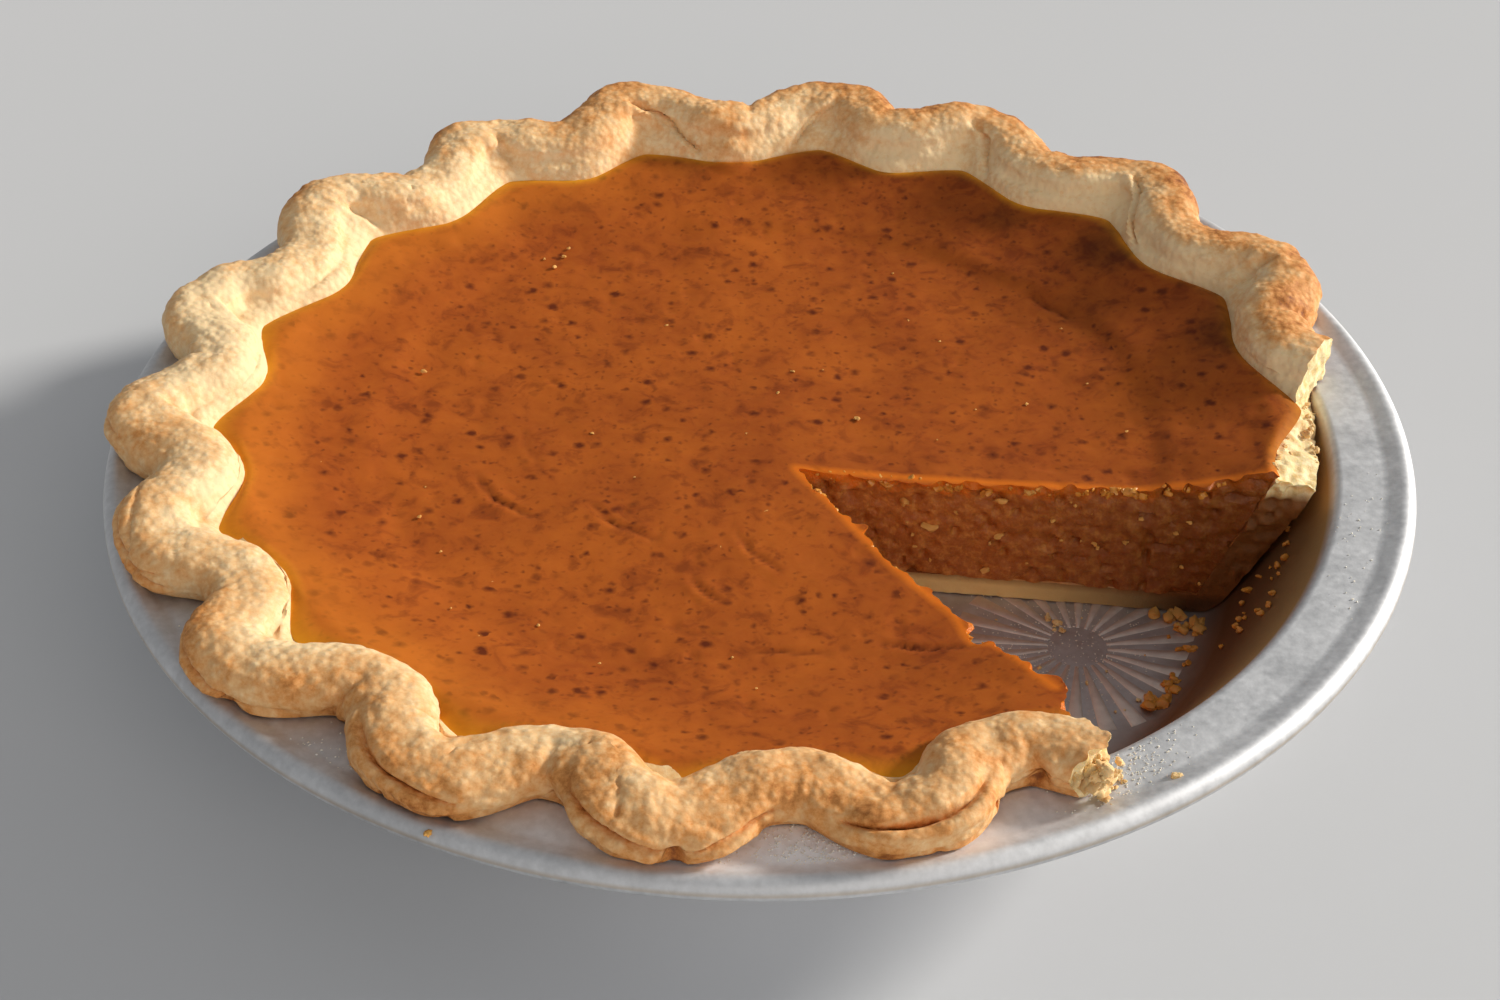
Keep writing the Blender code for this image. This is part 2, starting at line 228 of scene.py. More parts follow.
def rounded(corners, radii, steps):
    """A polyline with an arc of the given radius at each inner corner."""
    points = [corners[0]]
    for before, corner, after, radius in zip(corners, corners[1:], corners[2:], radii):
        p, a, b = (np.array(q) for q in (corner, before, after))
        to_a = (a - p) / np.linalg.norm(a - p)
        to_b = (b - p) / np.linalg.norm(b - p)
        half = math.acos(float(np.clip(to_a @ to_b, -1, 1))) / 2
        bisector = (to_a + to_b) / np.linalg.norm(to_a + to_b)
        centre = p + bisector * radius / math.sin(half)
        start = p + to_a * radius / math.tan(half) - centre
        end = p + to_b * radius / math.tan(half) - centre
        sweep = math.pi - 2 * half
        for i in range(steps + 1):
            t = i / steps
            arc = math.sin((1 - t) * sweep) * start + math.sin(t * sweep) * end
            points.append(tuple(centre + arc / math.sin(sweep)))
    points.append(corners[-1])
    return points


def add_piece(name, points, faces, looks):
    """A piece from points and faces, with its materials, linked to the scene."""
    mesh = bpy.data.meshes.new(name)
    mesh.from_pydata(np.asarray(points).tolist(), [], faces)
    for look in looks:
        mesh.materials.append(look)
    piece = bpy.data.objects.new(name, mesh)
    bpy.context.scene.collection.objects.link(piece)
    return piece


def note(piece, name, values):
    """Keeps a number for each point of a piece, for its material to read."""
    piece.data.attributes.new(name, "FLOAT", "POINT").data.foreach_set("value", np.ravel(values))


def places_of(mesh):
    flat = np.zeros(len(mesh.vertices) * 3, np.float32)
    mesh.vertices.foreach_get("co", flat)
    return flat.reshape(-1, 3).astype(float)


def normals_at(mesh):
    flat = np.zeros(len(mesh.vertices) * 3, np.float32)
    mesh.vertex_normals.foreach_get("vector", flat)
    return flat.reshape(-1, 3).astype(float)


def move_points(mesh, points):
    mesh.vertices.foreach_set("co", points.astype(np.float32).ravel())
    mesh.update()


def note_nearest(piece, uncut, notes):
    """Notes on a piece that has been cut: each point takes those of the nearest of the uncut points."""
    tree = KDTree(len(uncut))
    for number, point in enumerate(uncut):
        tree.insert(point, number)
    tree.balance()
    nearest = [tree.find(vertex.co)[1] for vertex in piece.data.vertices]
    for name, values in notes.items():
        note(piece, name, values[nearest])


def loft_faces(rings, stations):
    """Faces of a closed surface through rings of points, and one more point at each end, after the rings."""
    ring, station = np.meshgrid(np.arange(rings - 1), np.arange(stations), indexing="ij")
    a = ring * stations + station
    b = ring * stations + (station + 1) % stations
    quads = np.stack([a, b, b + stations, a + stations], -1).reshape(-1, 4)
    i = np.arange(stations)
    j = (i + 1) % stations
    first = np.full(stations, rings * stations)
    top = (rings - 1) * stations
    ends = np.concatenate([np.stack([first, j, i], -1), np.stack([first + 1, top + i, top + j], -1)])
    return quads.tolist() + ends.tolist()


def lofted(name, points, looks):
    """A closed piece through rings of points round Z. points is an array by ring and by station."""
    rings, stations = points.shape[:2]
    ends = [[0, 0, points[0, 0, 2]], [0, 0, points[-1, :, 2].mean()]]
    return add_piece(name, np.concatenate([points.reshape(-1, 3), ends]), loft_faces(rings, stations), looks)


def turned(section, angles):
    """Places in space of sections that give a radius and a height at each angle."""
    radius = section[..., 0]
    return np.stack([radius * np.cos(angles), radius * np.sin(angles), section[..., 1]], -1)


def normals_of(points):
    """Outward directions of a lofted surface, from the points round each of its points."""
    along = np.roll(points, -1, axis=1) - np.roll(points, 1, axis=1)
    across = np.gradient(points, axis=0)
    normal = np.cross(along, across)
    return normal / np.maximum(np.linalg.norm(normal, axis=-1, keepdims=True), 1e-12)


def swap_mesh(piece):
    """Gives a piece the mesh that its modifiers make, and takes them off."""
    graph = bpy.context.evaluated_depsgraph_get()
    graph.update()
    mesh = bpy.data.meshes.new_from_object(piece.evaluated_get(graph))
    piece.modifiers.clear()
    piece.data = mesh


def cut_away(piece, cutter):
    boolean = piece.modifiers.new("cut", "BOOLEAN")
    boolean.object = cutter
    boolean.operation = "DIFFERENCE"
    boolean.solver = "MANIFOLD"
    swap_mesh(piece)
    bpy.data.objects.remove(cutter)


def finish_piece(piece, sharp=40):
    """Smooth but for edges sharper than sharp degrees, on the root body."""
    piece.data.shade_smooth()
    piece.data.set_sharp_from_angle(angle=math.radians(sharp))
    piece.data.name = piece.name
    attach(piece, "root")


def wire(tree, node, inputs):
    """Sets inputs of a node, each to a value, a socket, or a node, which gives its first output in use."""
    for name, value in inputs.items():
        if isinstance(value, bpy.types.Node):
            value = next(socket for socket in value.outputs if socket.enabled)
        if isinstance(value, bpy.types.NodeSocket):
            tree.links.new(value, node.inputs[name])
        elif node.inputs[name].type == "RGBA":
            node.inputs[name].default_value = (*value, 1)
        else:
            node.inputs[name].default_value = value


def add(tree, kind, inputs=None, **settings):
    """Adds a shader node with its settings and its inputs."""
    made = tree.nodes.new("ShaderNode" + kind)
    for name, value in settings.items():
        setattr(made, name, value)
    wire(tree, made, inputs or {})
    return made


def grade(ramp, *stops):
    """Gives a colour ramp its stops, in order: each is a position and a colour."""
    elements = ramp.color_ramp.elements
    while len(elements) < len(stops):
        elements.new(0.5)
    for element, (position, colour) in zip(elements, stops):
        element.position, element.color = position, (*colour, 1)


def new_look(name):
    """A material with only its output and a Principled shader, and its tree and coordinates."""
    look = bpy.data.materials.new(name)
    look.use_nodes = True
    tree = look.node_tree
    shader = tree.nodes["Principled BSDF"]
    place = add(tree, "TexCoord").outputs["Object"]
    return look, tree, shader, place


def wall_radius(z):
    return FLOOR_CORNER + (LIP_CORNER - FLOOR_CORNER) * (z - SHEET) / (RIM_TOP - SHEET)


def tin_profile():
    """Half a section through the tin, finer than the solid's: floor, wall, rim, rolled edge and underside."""
    slope = (LIP_CORNER - FLOOR_CORNER) / (RIM_TOP - SHEET)
    lean = math.atan(slope)
    under_corner = FLOOR_CORNER + SHEET / math.cos(lean) - SHEET * slope
    under_lip = LIP_CORNER + SHEET / math.cos(lean) - SHEET * slope
    bead_r, bead_z = BEAD_CENTRE

    def bead_meets(z):
        drop = z - bead_z
        return math.atan2(drop, -math.sqrt(BEAD_RADIUS ** 2 - drop ** 2))

    last = bead_meets(RIM_TOP - SHEET) - TAU
    first = RAMP_ANGLE - (last - RAMP_ANGLE) * 3 / 25
    bead = [(bead_r + BEAD_RADIUS * math.cos(first + (last - first) * i / 28),
             bead_z + BEAD_RADIUS * math.sin(first + (last - first) * i / 28)) for i in range(29)]
    inside = rounded([(0, SHEET), (FLOOR_CORNER, SHEET), (LIP_CORNER, RIM_TOP), RAMP[0], bead[3]],
                     [FLOOR_FILLET, LIP_FILLET, 5 * MM], 10)
    outside = rounded([bead[-1], (under_lip, RIM_TOP - SHEET), (under_corner, 0), (0, 0)],
                      [LIP_FILLET - SHEET, FLOOR_FILLET + SHEET], 10)
    profile = inside + bead[4:-1] + outside
    fine = [profile[0]]
    for (r0, z0), (r1, z1) in zip(profile, profile[1:]):
        steps = max(1, round(math.hypot(r1 - r0, z1 - z0) / (6 * MM)))
        fine += [(r0 + (r1 - r0) * i / steps, z0 + (z1 - z0) * i / steps) for i in range(1, steps + 1)]
    return fine


def spun_aluminium(settings):
    """Spun aluminium sheet, dulled by washing and baking: a soft mottled shine with fine scuffs."""
    look, tree, shader, place = new_look("spun aluminium")
    # Blotches the size of a fingertip, where baking has stained the surface, and finer clouding in them.
    blotch = add(tree, "TexNoise", {"Vector": place, "Scale": 1 / (9 * MM), "Detail": 5.0, "Roughness": 0.62})
    cloud = add(tree, "TexNoise", {"Vector": place, "Scale": 1 / (1.6 * MM), "Detail": 3.0, "Roughness": 0.6})
    mixed = add(tree, "Math", {0: blotch, 1: cloud}, operation="ADD")
    level = add(tree, "MapRange", {"Value": mixed, "From Min": 0.7, "From Max": 1.3})
    # Under the lip a brown coat inside the wall, thickest in the corner: butter fat baked on, and painted
    # reflection of the cut.
    depth = add(tree, "SeparateXYZ", {"Vector": place})
    inside = add(tree, "MapRange", {"Value": depth.outputs["Z"], "From Min": 33.4 * MM,
                                    "From Max": 31.5 * MM})
    far = add(tree, "VectorMath", {0: place, 1: (1.0, 1.0, 0.0)}, operation="MULTIPLY")
    radius = add(tree, "VectorMath", {0: far}, operation="LENGTH")
    wall = add(tree, "MapRange", {"Value": radius, "From Min": 86 * MM, "From Max": 97 * MM, "To Min": 0.15,
                                  "To Max": 0.95})
    above = add(tree, "Attribute", attribute_name="inside").outputs["Fac"]
    fat_film_and_painted_reflection = add(tree, "Math", {0: inside, 1: wall}, operation="MULTIPLY")
    fat_film_and_painted_reflection = add(tree, "Math", {0: fat_film_and_painted_reflection, 1: above}, operation="MULTIPLY")
    colour = add(tree, "Mix", {SHARE: level, UNDER: linear("#C6C7C9"), OVER: settings.aluminium},
                 data_type="RGBA")
    lift = add(tree, "MapRange", {"Value": depth.outputs["Z"], "From Min": 12 * MM, "From Max": 32 * MM})
    fat = add(tree, "Mix", {SHARE: lift, UNDER: settings.fat_film_and_painted_reflection, OVER: linear("#BC9C66")}, data_type="RGBA")
    colour = add(tree, "Mix", {SHARE: fat_film_and_painted_reflection, UNDER: colour, OVER: fat}, data_type="RGBA")
    rough = add(tree, "MapRange", {"Value": level, "To Min": 0.60, "To Max": 0.72})
    # Scuffs: a grain of a few tenths of a millimetre, drawn a little coarser than it is so that it shows.
    grain = add(tree, "TexNoise", {"Vector": place, "Scale": 1 / (0.5 * MM), "Detail": 2.0})
    bump = add(tree, "Bump", {"Height": grain, "Distance": 0.03 * MM, "Strength": 0.5})
    # Flour too fine for the grain, and painted light: a pale patch with less metal brightens the shaded front
    # rim.
    flour_and_painted_light = add(tree, "VectorMath", {0: place, 1: (4 * MM, -119 * MM, 34 * MM)}, operation="DISTANCE")
    flour_and_painted_light = add(tree, "MapRange", {"Value": flour_and_painted_light, "From Min": 56 * MM, "From Max": 14 * MM})
    patchy = add(tree, "MapRange", {"Value": cloud, "From Min": 0.3, "From Max": 0.65, "To Min": 0.78})
    flour_and_painted_light = add(tree, "Math", {0: flour_and_painted_light, 1: patchy}, operation="MULTIPLY")
    flat_rim = add(tree, "MapRange", {"Value": radius, "From Min": 127.0 * MM, "From Max": 123.5 * MM,
                                      "To Min": 0.12})
    flour_and_painted_light = add(tree, "Math", {0: flour_and_painted_light, 1: flat_rim}, operation="MULTIPLY")
    bare = add(tree, "Math", {0: 1.0, 1: flour_and_painted_light}, operation="SUBTRACT")
    colour = add(tree, "Mix", {SHARE: flour_and_painted_light, UNDER: colour, OVER: linear("#F4F6FA")}, data_type="RGBA")
    wire(tree, shader, {"Base Color": colour, "Roughness": rough, "Normal": bump, "Metallic": bare})
    return look


def pressed_aluminium():
    """The raised rays of the pressed pattern: the same sheet, duller, its warm light tint a painted
    reflection.
    """
    look, tree, shader, place = new_look("pressed aluminium")
    cloud = add(tree, "TexNoise", {"Vector": place, "Scale": 1 / (2.0 * MM), "Detail": 4.0})
    # The warm pink tint is painted reflection of the orange cut custard.
    colour = add(tree, "Mix", {SHARE: cloud, UNDER: linear("#CFC2BA"), OVER: linear("#EFE6DE")},
                 data_type="RGBA")
    wire(tree, shader, {"Base Color": colour, "Metallic": 1.0, "Roughness": 0.68})
    return look


class TinSettings(bpy.types.PropertyGroup):
    steps: IntProperty(name="Steps", description="Steps round the tin", default=360, min=24)
    star_radius: length_property("Sunburst radius", "Reach of the rays of one pressed sunburst", 24.5 * MM)
    star_ring: length_property("Sunburst ring", "Distance of the outer sunbursts from the middle", 71 * MM)
    star_height: length_property("Sunburst relief", "Height of the pressed rays", 0.22 * MM)
    rays: IntProperty(name="Rays", description="Rays in one sunburst", default=24, min=3)
    aluminium: colour_property("Aluminium", "Colour of the bare metal", "#DEDFE1")
    # Partly the baked-on fat, partly painted reflection of the cut custard.
    fat_film_and_painted_reflection: colour_property("Baked film", "Colour of the fat baked on inside", "#845A34")


class PIE_OT_tin(bpy.types.Operator):
    """Makes the spun tin with its rolled edge"""
    bl_idname = "pie.tin"
    bl_label = "Tin"

    def execute(self, context):
        settings = context.scene.pie_tin
        profile = tin_profile()
        tin = add_piece("tin_spun", [], [], [])
        tin.data.from_pydata([(r, 0, z) for r, z in profile],
                             [(i, i + 1) for i in range(len(profile) - 1)], [])
        screw = tin.modifiers.new("spin", "SCREW")
        screw.steps = settings.steps
        screw.render_steps = settings.steps
        screw.use_merge_vertices = True
        screw.merge_threshold = 0.005 * MM
        swap_mesh(tin)
        place, up = places_of(tin.data), normals_at(tin.data)[:, 2]
        floor = (abs(place[:, 2] - SHEET) < 0.01 * MM) & (np.hypot(place[:, 0], place[:, 1]) < 50 * MM)
        note(tin, "inside", (up * np.sign(up[floor].mean()) > 0).astype(np.float32))
        tin.data.materials.append(spun_aluminium(settings))
        finish_piece(tin, 35)
        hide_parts("tin")
        return {"FINISHED"}


class PIE_OT_sunbursts(bpy.types.Operator):
    """Makes the sunbursts that are pressed into the floor of the tin"""
    bl_idname = "pie.sunbursts"
    bl_label = "Pressed sunbursts"

    def execute(self, context):
        settings = context.scene.pie_tin
        reach, height = settings.star_radius, settings.star_height
        middles = [(0.0, 0.0)]
        middles += [(settings.star_ring * math.cos(a), settings.star_ring * math.sin(a))
                    for a in (math.radians(-27.3 + 45 * k) for k in range(8))]
        points, faces = [], []
        for mx, my in middles:
            for ray in range(settings.rays):
                turn = TAU * (ray + 0.5) / settings.rays
                out = np.array([math.cos(turn), math.sin(turn)])
                side = np.array([-out[1], out[0]])
                base = len(points)
                for z, inset in ((SHEET - 0.05 * MM, 0.0), (SHEET + height, 0.22 * MM)):
                    for distance, width in ((0.24 * reach + inset, 0.8 * MM), (0.62 * reach, 2.2 * MM),
                                            (reach - inset, 3.6 * MM)):
                        half = max(width / 2 - inset, 0.1 * MM)
                        for sign in (-1, 1):
                            x, y = np.array([mx, my]) + out * distance + side * half * sign
                            points.append((x, y, z))
                faces += [[base + i for i in quad] for quad in (
                    (6, 8, 9, 7), (8, 10, 11, 9), (0, 2, 8, 6), (2, 4, 10, 8), (3, 1, 7, 9), (5, 3, 9, 11),
                    (4, 5, 11, 10), (1, 0, 6, 7), (1, 3, 2, 0), (3, 5, 4, 2))]
        stars = add_piece("tin_sunbursts", points, faces, [pressed_aluminium()])
        finish_piece(stars, 60)
        return {"FINISHED"}


def flute_phase(angle):
    """A whole turn for each flute, and a multiple of it where one reaches out."""
    directions = np.radians(FLUTES + (FLUTES[0] + 360,))
    turned_by = (angle - directions[0]) % TAU + directions[0]
    return np.interp(turned_by, directions, TAU * np.arange(len(directions)))


def uneven(angle, seed, count=5):
    """A smooth wandering value between about -1 and 1 round the pie."""
    draw = random.Random(seed)
    waves = [(draw.randint(2, 15), draw.uniform(0, TAU), draw.uniform(0.5, 1)) for _ in range(count)]
    total = sum(size for _, _, size in waves)
    return sum(size * np.sin(n * angle + shift) for n, shift, size in waves) / total * 1.6


def rope_path(angle):
    phase = flute_phase(angle)
    swing = ROPE_SWING * (1 + 0.14 * uneven(angle, 7))
    offset = ROPE_MIDDLE[0] * np.cos(angle) + ROPE_MIDDLE[1] * np.sin(angle)
    return ROPE_RADIUS + offset + swing * np.cos(phase - 0.2 * np.sin(2 * phase))


def crest_height(angle):
    lift = 0.5 * MM * np.cos(flute_phase(angle)) + CREST_TILT * np.sin(angle)
    return CREST_HEIGHT + lift + 0.6 * MM * uneven(angle, 11)


def rope_side(angles, half_width, side):
    """Radius of the rope's side at each angle, half_width from its path: outside for 1 and inside for -1."""
    path_angles = np.linspace(0, TAU, 2160, endpoint=False)
    radii = rope_path(path_angles)
    result = []
    for angle in angles:
        turn = path_angles - angle
        along = radii * np.cos(turn)
        across = radii * np.sin(turn)
        near = (np.abs(across) <= half_width) & (along > 0)
        reach = along[near] + side * np.sqrt(half_width ** 2 - across[near] ** 2)
        result.append(reach.max() if side > 0 else reach.min())
    return np.array(result)


def pastry_inside(angles, z):
    """Radius of the line where pastry and filling meet, at each angle and a height."""
    foot = wall_radius(BASE_TOP) - WALL_THICK
    phase = flute_phase(angles)
    # The filling pokes out into a sharp corner at each flute, and the corners aren't alike.
    corner = 1.27 - 2 * np.sqrt(np.sin(phase / 2) ** 2 + 0.004)
    swing = FILL_RADIUS_SWING * (0.45 * np.cos(phase) + 0.55 * corner)
    line = FILL_RADIUS + FILL_SHIFT * np.sin(angles) + swing + 0.5 * MM * uneven(angles, 13, 9)
    return foot + (line - foot) * (z - BASE_TOP) / (FILL_LINE - BASE_TOP)


def loose_gap(angles, z):
    """Gap between the tin and the pastry's wall, at each angle and a height."""
    middle, reach = LOOSE_WALL
    away = np.abs((angles - middle + math.pi) % TAU - math.pi) / reach
    return TOUCH_GAP + LOOSE_GAP * (1 - smooth_step(away)) * smooth_step((z - 8 * MM) / (RIM_TOP - 8 * MM))


def pastry_rings(angles):
    """The pastry's section: for each ring its radius, its height, the steps from it to the next, and its
    place round the rope, from 0 at the foot outside over 1 at the crest to 2 where the filling ends."""
    ones = np.ones_like(angles)
    crest = crest_height(angles)
    under = BASE_TOP - BASE_THICK
    rest = RIM_TOP + TOUCH_GAP
    rings = []
    foot = rounded([(0, under), (FLOOR_CORNER - TOUCH_GAP / 2, under), (wall_radius(18 * MM), 18 * MM)],
                   [FLOOR_FILLET], 4)[1:-1]
    for radius, z in foot:
        rings.append((radius * ones - TOUCH_GAP / 2, z * ones, 1, -1))
    for z in (20 * MM, RIM_TOP - 1 * MM):
        rings.append((wall_radius(z) - loose_gap(angles, z), z * ones, 1, -1))
    rings.append((LIP_CORNER - loose_gap(angles, RIM_TOP), rest * ones, 1, -0.5))
    underside = rope_side(angles, 0.80 * ROPE_HALF_WIDTH, 1)
    rings.append((np.clip(underside, LIP_CORNER + 0.3 * MM, UNDERSIDE_LIMIT), rest * ones, 3, 0.0))
    for width, height, steps, place in ((0.95, 0.14, 5, 0.13), (1.0, 0.36, 7, 0.34), (0.97, 0.60, 8, 0.56),
                                        (0.80, 0.84, 7, 0.78), (0.45, 0.97, 5, 0.92)):
        side = rope_side(angles, width * ROPE_HALF_WIDTH, 1)
        rings.append((side, np.maximum(rest + (crest - rest) * height, OVER_BEAD), steps, place))
    rings.append((rope_path(angles), crest, 4, 1.0))
    for width, drop, steps, place in ((0.45, 0.4, 5, 1.12), (0.82, 2.1, 5, 1.35), (0.97, 4.4, 7, 1.6)):
        side = rope_side(angles, width * ROPE_HALF_WIDTH, -1)
        rings.append((side, np.maximum(crest - drop * MM, FILL_LINE + OVER_FILLING), steps, place))
    rings.append((pastry_inside(angles, FILL_LINE), FILL_LINE * ones, 4, 2.0))
    for z in (20 * MM, BASE_TOP):
        rings.append((pastry_inside(angles, z), z * ones, 2, 3.0))
    return rings


def finer(rings, angles):
    """Points on smooth curves through the rings, by ring and by station, and each fine ring's place."""
    radius = np.array([ring[0] for ring in rings])
    height = np.array([ring[1] for ring in rings])
    section = np.stack([radius, height], -1)
    points, places = [], []
    for i in range(len(rings) - 1):
        before = section[max(i - 1, 0)]
        here, after = section[i], section[i + 1]
        beyond = section[min(i + 2, len(rings) - 1)]
        steps = rings[i][2]
        for k in range(steps):
            t = k / steps
            points.append(0.5 * (2 * here + (after - before) * t
                                 + (2 * before - 5 * here + 4 * after - beyond) * t ** 2
                                 + (3 * here - before - 3 * after + beyond) * t ** 3))
            places.append(rings[i][3] + (rings[i + 1][3] - rings[i][3]) * t)
    points.append(section[-1])
    places.append(rings[-1][3])
    return turned(np.array(points), angles), np.array(places)


def fold_relief(angles, places):
    """Relief of the folds and splits by ring and station, and how deep in one each point is, from 0 to 1."""
    degrees = np.degrees(angles)[None, :]
    place = places[:, None]
    draw = random.Random(31)
    folds = list(FOLDS)
    for direction in FLUTES[1:9]:
        folds.append((direction - draw.uniform(4, 7), draw.uniform(0.3, 0.8),
                      direction + draw.uniform(4, 7), draw.uniform(0.2, 0.7),
                      draw.uniform(-0.1, 0.15), draw.uniform(0.7, 1.3) * MM))
    relief = np.zeros((len(places), len(angles)))
    groove = np.zeros_like(relief)
    for start, low, end, high, arch, depth in folds:
        t = (degrees - start) / (end - start)
        inside = np.clip(np.sin(np.pi * np.clip(t, 0, 1)), 0, 1) ** 0.6
        off = place - (low + (high - low) * t + arch * 4 * t * (1 - t))
        line = hump(off, 0.036) * inside
        relief += 1.35 * depth * (-line + 0.5 * hump(off + 0.17, 0.13) * inside
                                  + 0.3 * hump(off - 0.12, 0.10) * inside)
        groove = np.maximum(groove, line * depth / (1.7 * MM))
    # Between two flutes the outer side is pinched in to a crease, which leans.
    for before, after in zip(FLUTES, FLUTES[1:]):
        foot = (before + after) / 2 + draw.uniform(-2, 2)
        lean, top = draw.uniform(-3.5, 3.5), draw.uniform(0.75, 1.3)
        line = hump(degrees - foot - lean * place, 0.55) * smooth_step((top - place) / 0.4) * (place > 0)
        relief -= draw.uniform(0.4, 1.3) * MM * line
        groove = np.maximum(groove, 0.5 * line)
    # Inside, each flute closes on a torn crease, with a low lip along one side of it.
    for direction in FLUTES:
        foot, lean = direction + draw.uniform(-1.5, 1.5), draw.uniform(-7, 7)
        depth = draw.uniform(0.6, 1.4) * MM
        depth *= 0.35 if direction > 185 else 1.0
        if direction in (43, 104.5):
            foot, lean, depth = foot - 3.0, -9.0, depth + 0.8 * MM
        shown = smooth_step((place - 1.02) / 0.25) * smooth_step((1.98 - place) / 0.08)
        off = (degrees - foot - lean * (place - 1.5) + 180) % 360 - 180
        relief += depth * shown * (0.5 * hump(off - 1.3, 1.1) - hump(off, 0.55))
        groove = np.maximum(groove, 0.5 * hump(off, 0.55) * shown)
    for direction, half, top, depth in SPLITS:
        line = hump(degrees - direction, half) * smooth_step(1.6 - place / top * 1.6) * (place >= 0)
        relief -= depth * line
        groove = np.maximum(groove, line)
    return relief, np.clip(groove, 0, 1)


def pastry_points(angles):
    """The pastry's points with all their relief, and how brown each is, from 0 to 1, with painted shade and
    light.
    """
    points, places = finer(pastry_rings(angles), angles)
    normal = normals_of(points)
    place = places[:, None]
    phase = flute_phase(angles)[None, :]
    outward = 0.5 + 0.5 * np.cos(phase)
    shown = smooth_step(place / 0.12) * smooth_step((2.1 - place) / 0.25)
    outer = smooth_step((1.1 - place) / 0.3)

    relief = 0.75 * MM * lumps(points, 13 * MM, 1) + 0.34 * MM * lumps(points, 6 * MM, 2)
    relief += 0.13 * MM * lumps(points, 2.8 * MM, 3) + 0.14 * MM * lumps(points, 1.4 * MM, 4)
    # Fine creases where the dough was stretched.
    crease = hump(lumps(points, 9 * MM, 9), 0.07) * np.clip(0.3 + lumps(points, 15 * MM, 10), 0, 1)
    crease *= smooth_step((1.65 - place) / 0.3)
    relief -= 0.55 * MM * crease
    # The dough is gathered where it was pinched: outside between the flutes, and inside at each flute.
    arc = angles[None, :] * ROPE_RADIUS
    wave = np.sin(TAU * arc / (2.9 * MM) + 6 * lumps(points, 6 * MM, 5))
    gathered = (outer * smooth_step((0.45 - outward) / 0.35)
                + (1 - outer) * smooth_step((outward - 0.55) / 0.35))
    gathered *= smooth_step((1.7 - place) / 0.3) * (0.5 + 0.5 * lumps(points, 10 * MM, 6))
    relief += 0.14 * MM * wave * gathered
    folds, groove = fold_relief(angles, places)
    relief = (relief + folds) * shown
    points = points + normal * relief[..., None]

    # The rope rests on the rim, and clears the rolled edge.
    radius = np.hypot(points[..., 0], points[..., 1])
    bead = BEAD_CENTRE[1] + np.sqrt(np.maximum(BEAD_RADIUS ** 2 - (radius - BEAD_CENTRE[0]) ** 2, 0))
    ramp = np.interp(radius, (RAMP[0][0], RAMP[1][0]), (RAMP[0][1], RAMP[1][1]))
    rest = np.maximum(np.where(radius < RAMP[1][0], ramp, RIM_TOP), bead) + 0.3 * MM
    on_rim = (place > -0.6) & (place < 1.5)
    points[..., 2] = np.where(on_rim, np.maximum(points[..., 2], rest), points[..., 2])
    points[..., 2] = np.minimum(points[..., 2], CREST_LIMIT)
    radius = np.hypot(points[..., 0], points[..., 1])
    points[..., :2] *= np.minimum(1, ROPE_LIMIT / radius)[..., None]

    turn = (np.degrees(angles)[None, :] + 180) % 360 - 180
    brown = 0.34 + 0.14 * outer * outward + 0.10 * lumps(points, 12 * MM, 7) + 0.10 * lumps(points, 4 * MM, 8)
    brown += 0.13 * hump(turn - 38, 32) * smooth_step((1.25 - place) / 0.3)
    back = hump(turn - 85, 75)
    brown += (0.10 + 0.15 * back) * hump(place - 0.80, 0.18) - 0.10 * smooth_step((place - 1.15) / 0.4)
    brown += 0.16 * (1 - smooth_step(place / 0.6)) * (place > -0.2) + 0.10 * hump(turn - 95, 45) * outer
    # Browner in the fine creases: painted shade. Paler on the left.
    brown += 0.10 * crease - 0.22 * hump((turn - 165 + 180) % 360 - 180, 45)
    # Browner in the folds, pinches and splits: painted shade.
    brown += 0.30 * groove + 0.07 * np.clip(relief / (0.5 * MM), -1, 1)
    # Paler on the inner side at the back right: partly pale floury pastry, partly painted light lifting the
    # shade.
    brown -= 0.28 * hump(turn - 35, 42) * smooth_step((place - 1.1) / 0.2)
    # Browner on the outer side at the front left: painted shade under the flutes.
    brown += 0.12 * hump(turn + 118, 18) * outer
    brown += 0.7 * smooth_step((place - 2.02) / 0.1)
    return points, np.clip(brown, 0, 1)


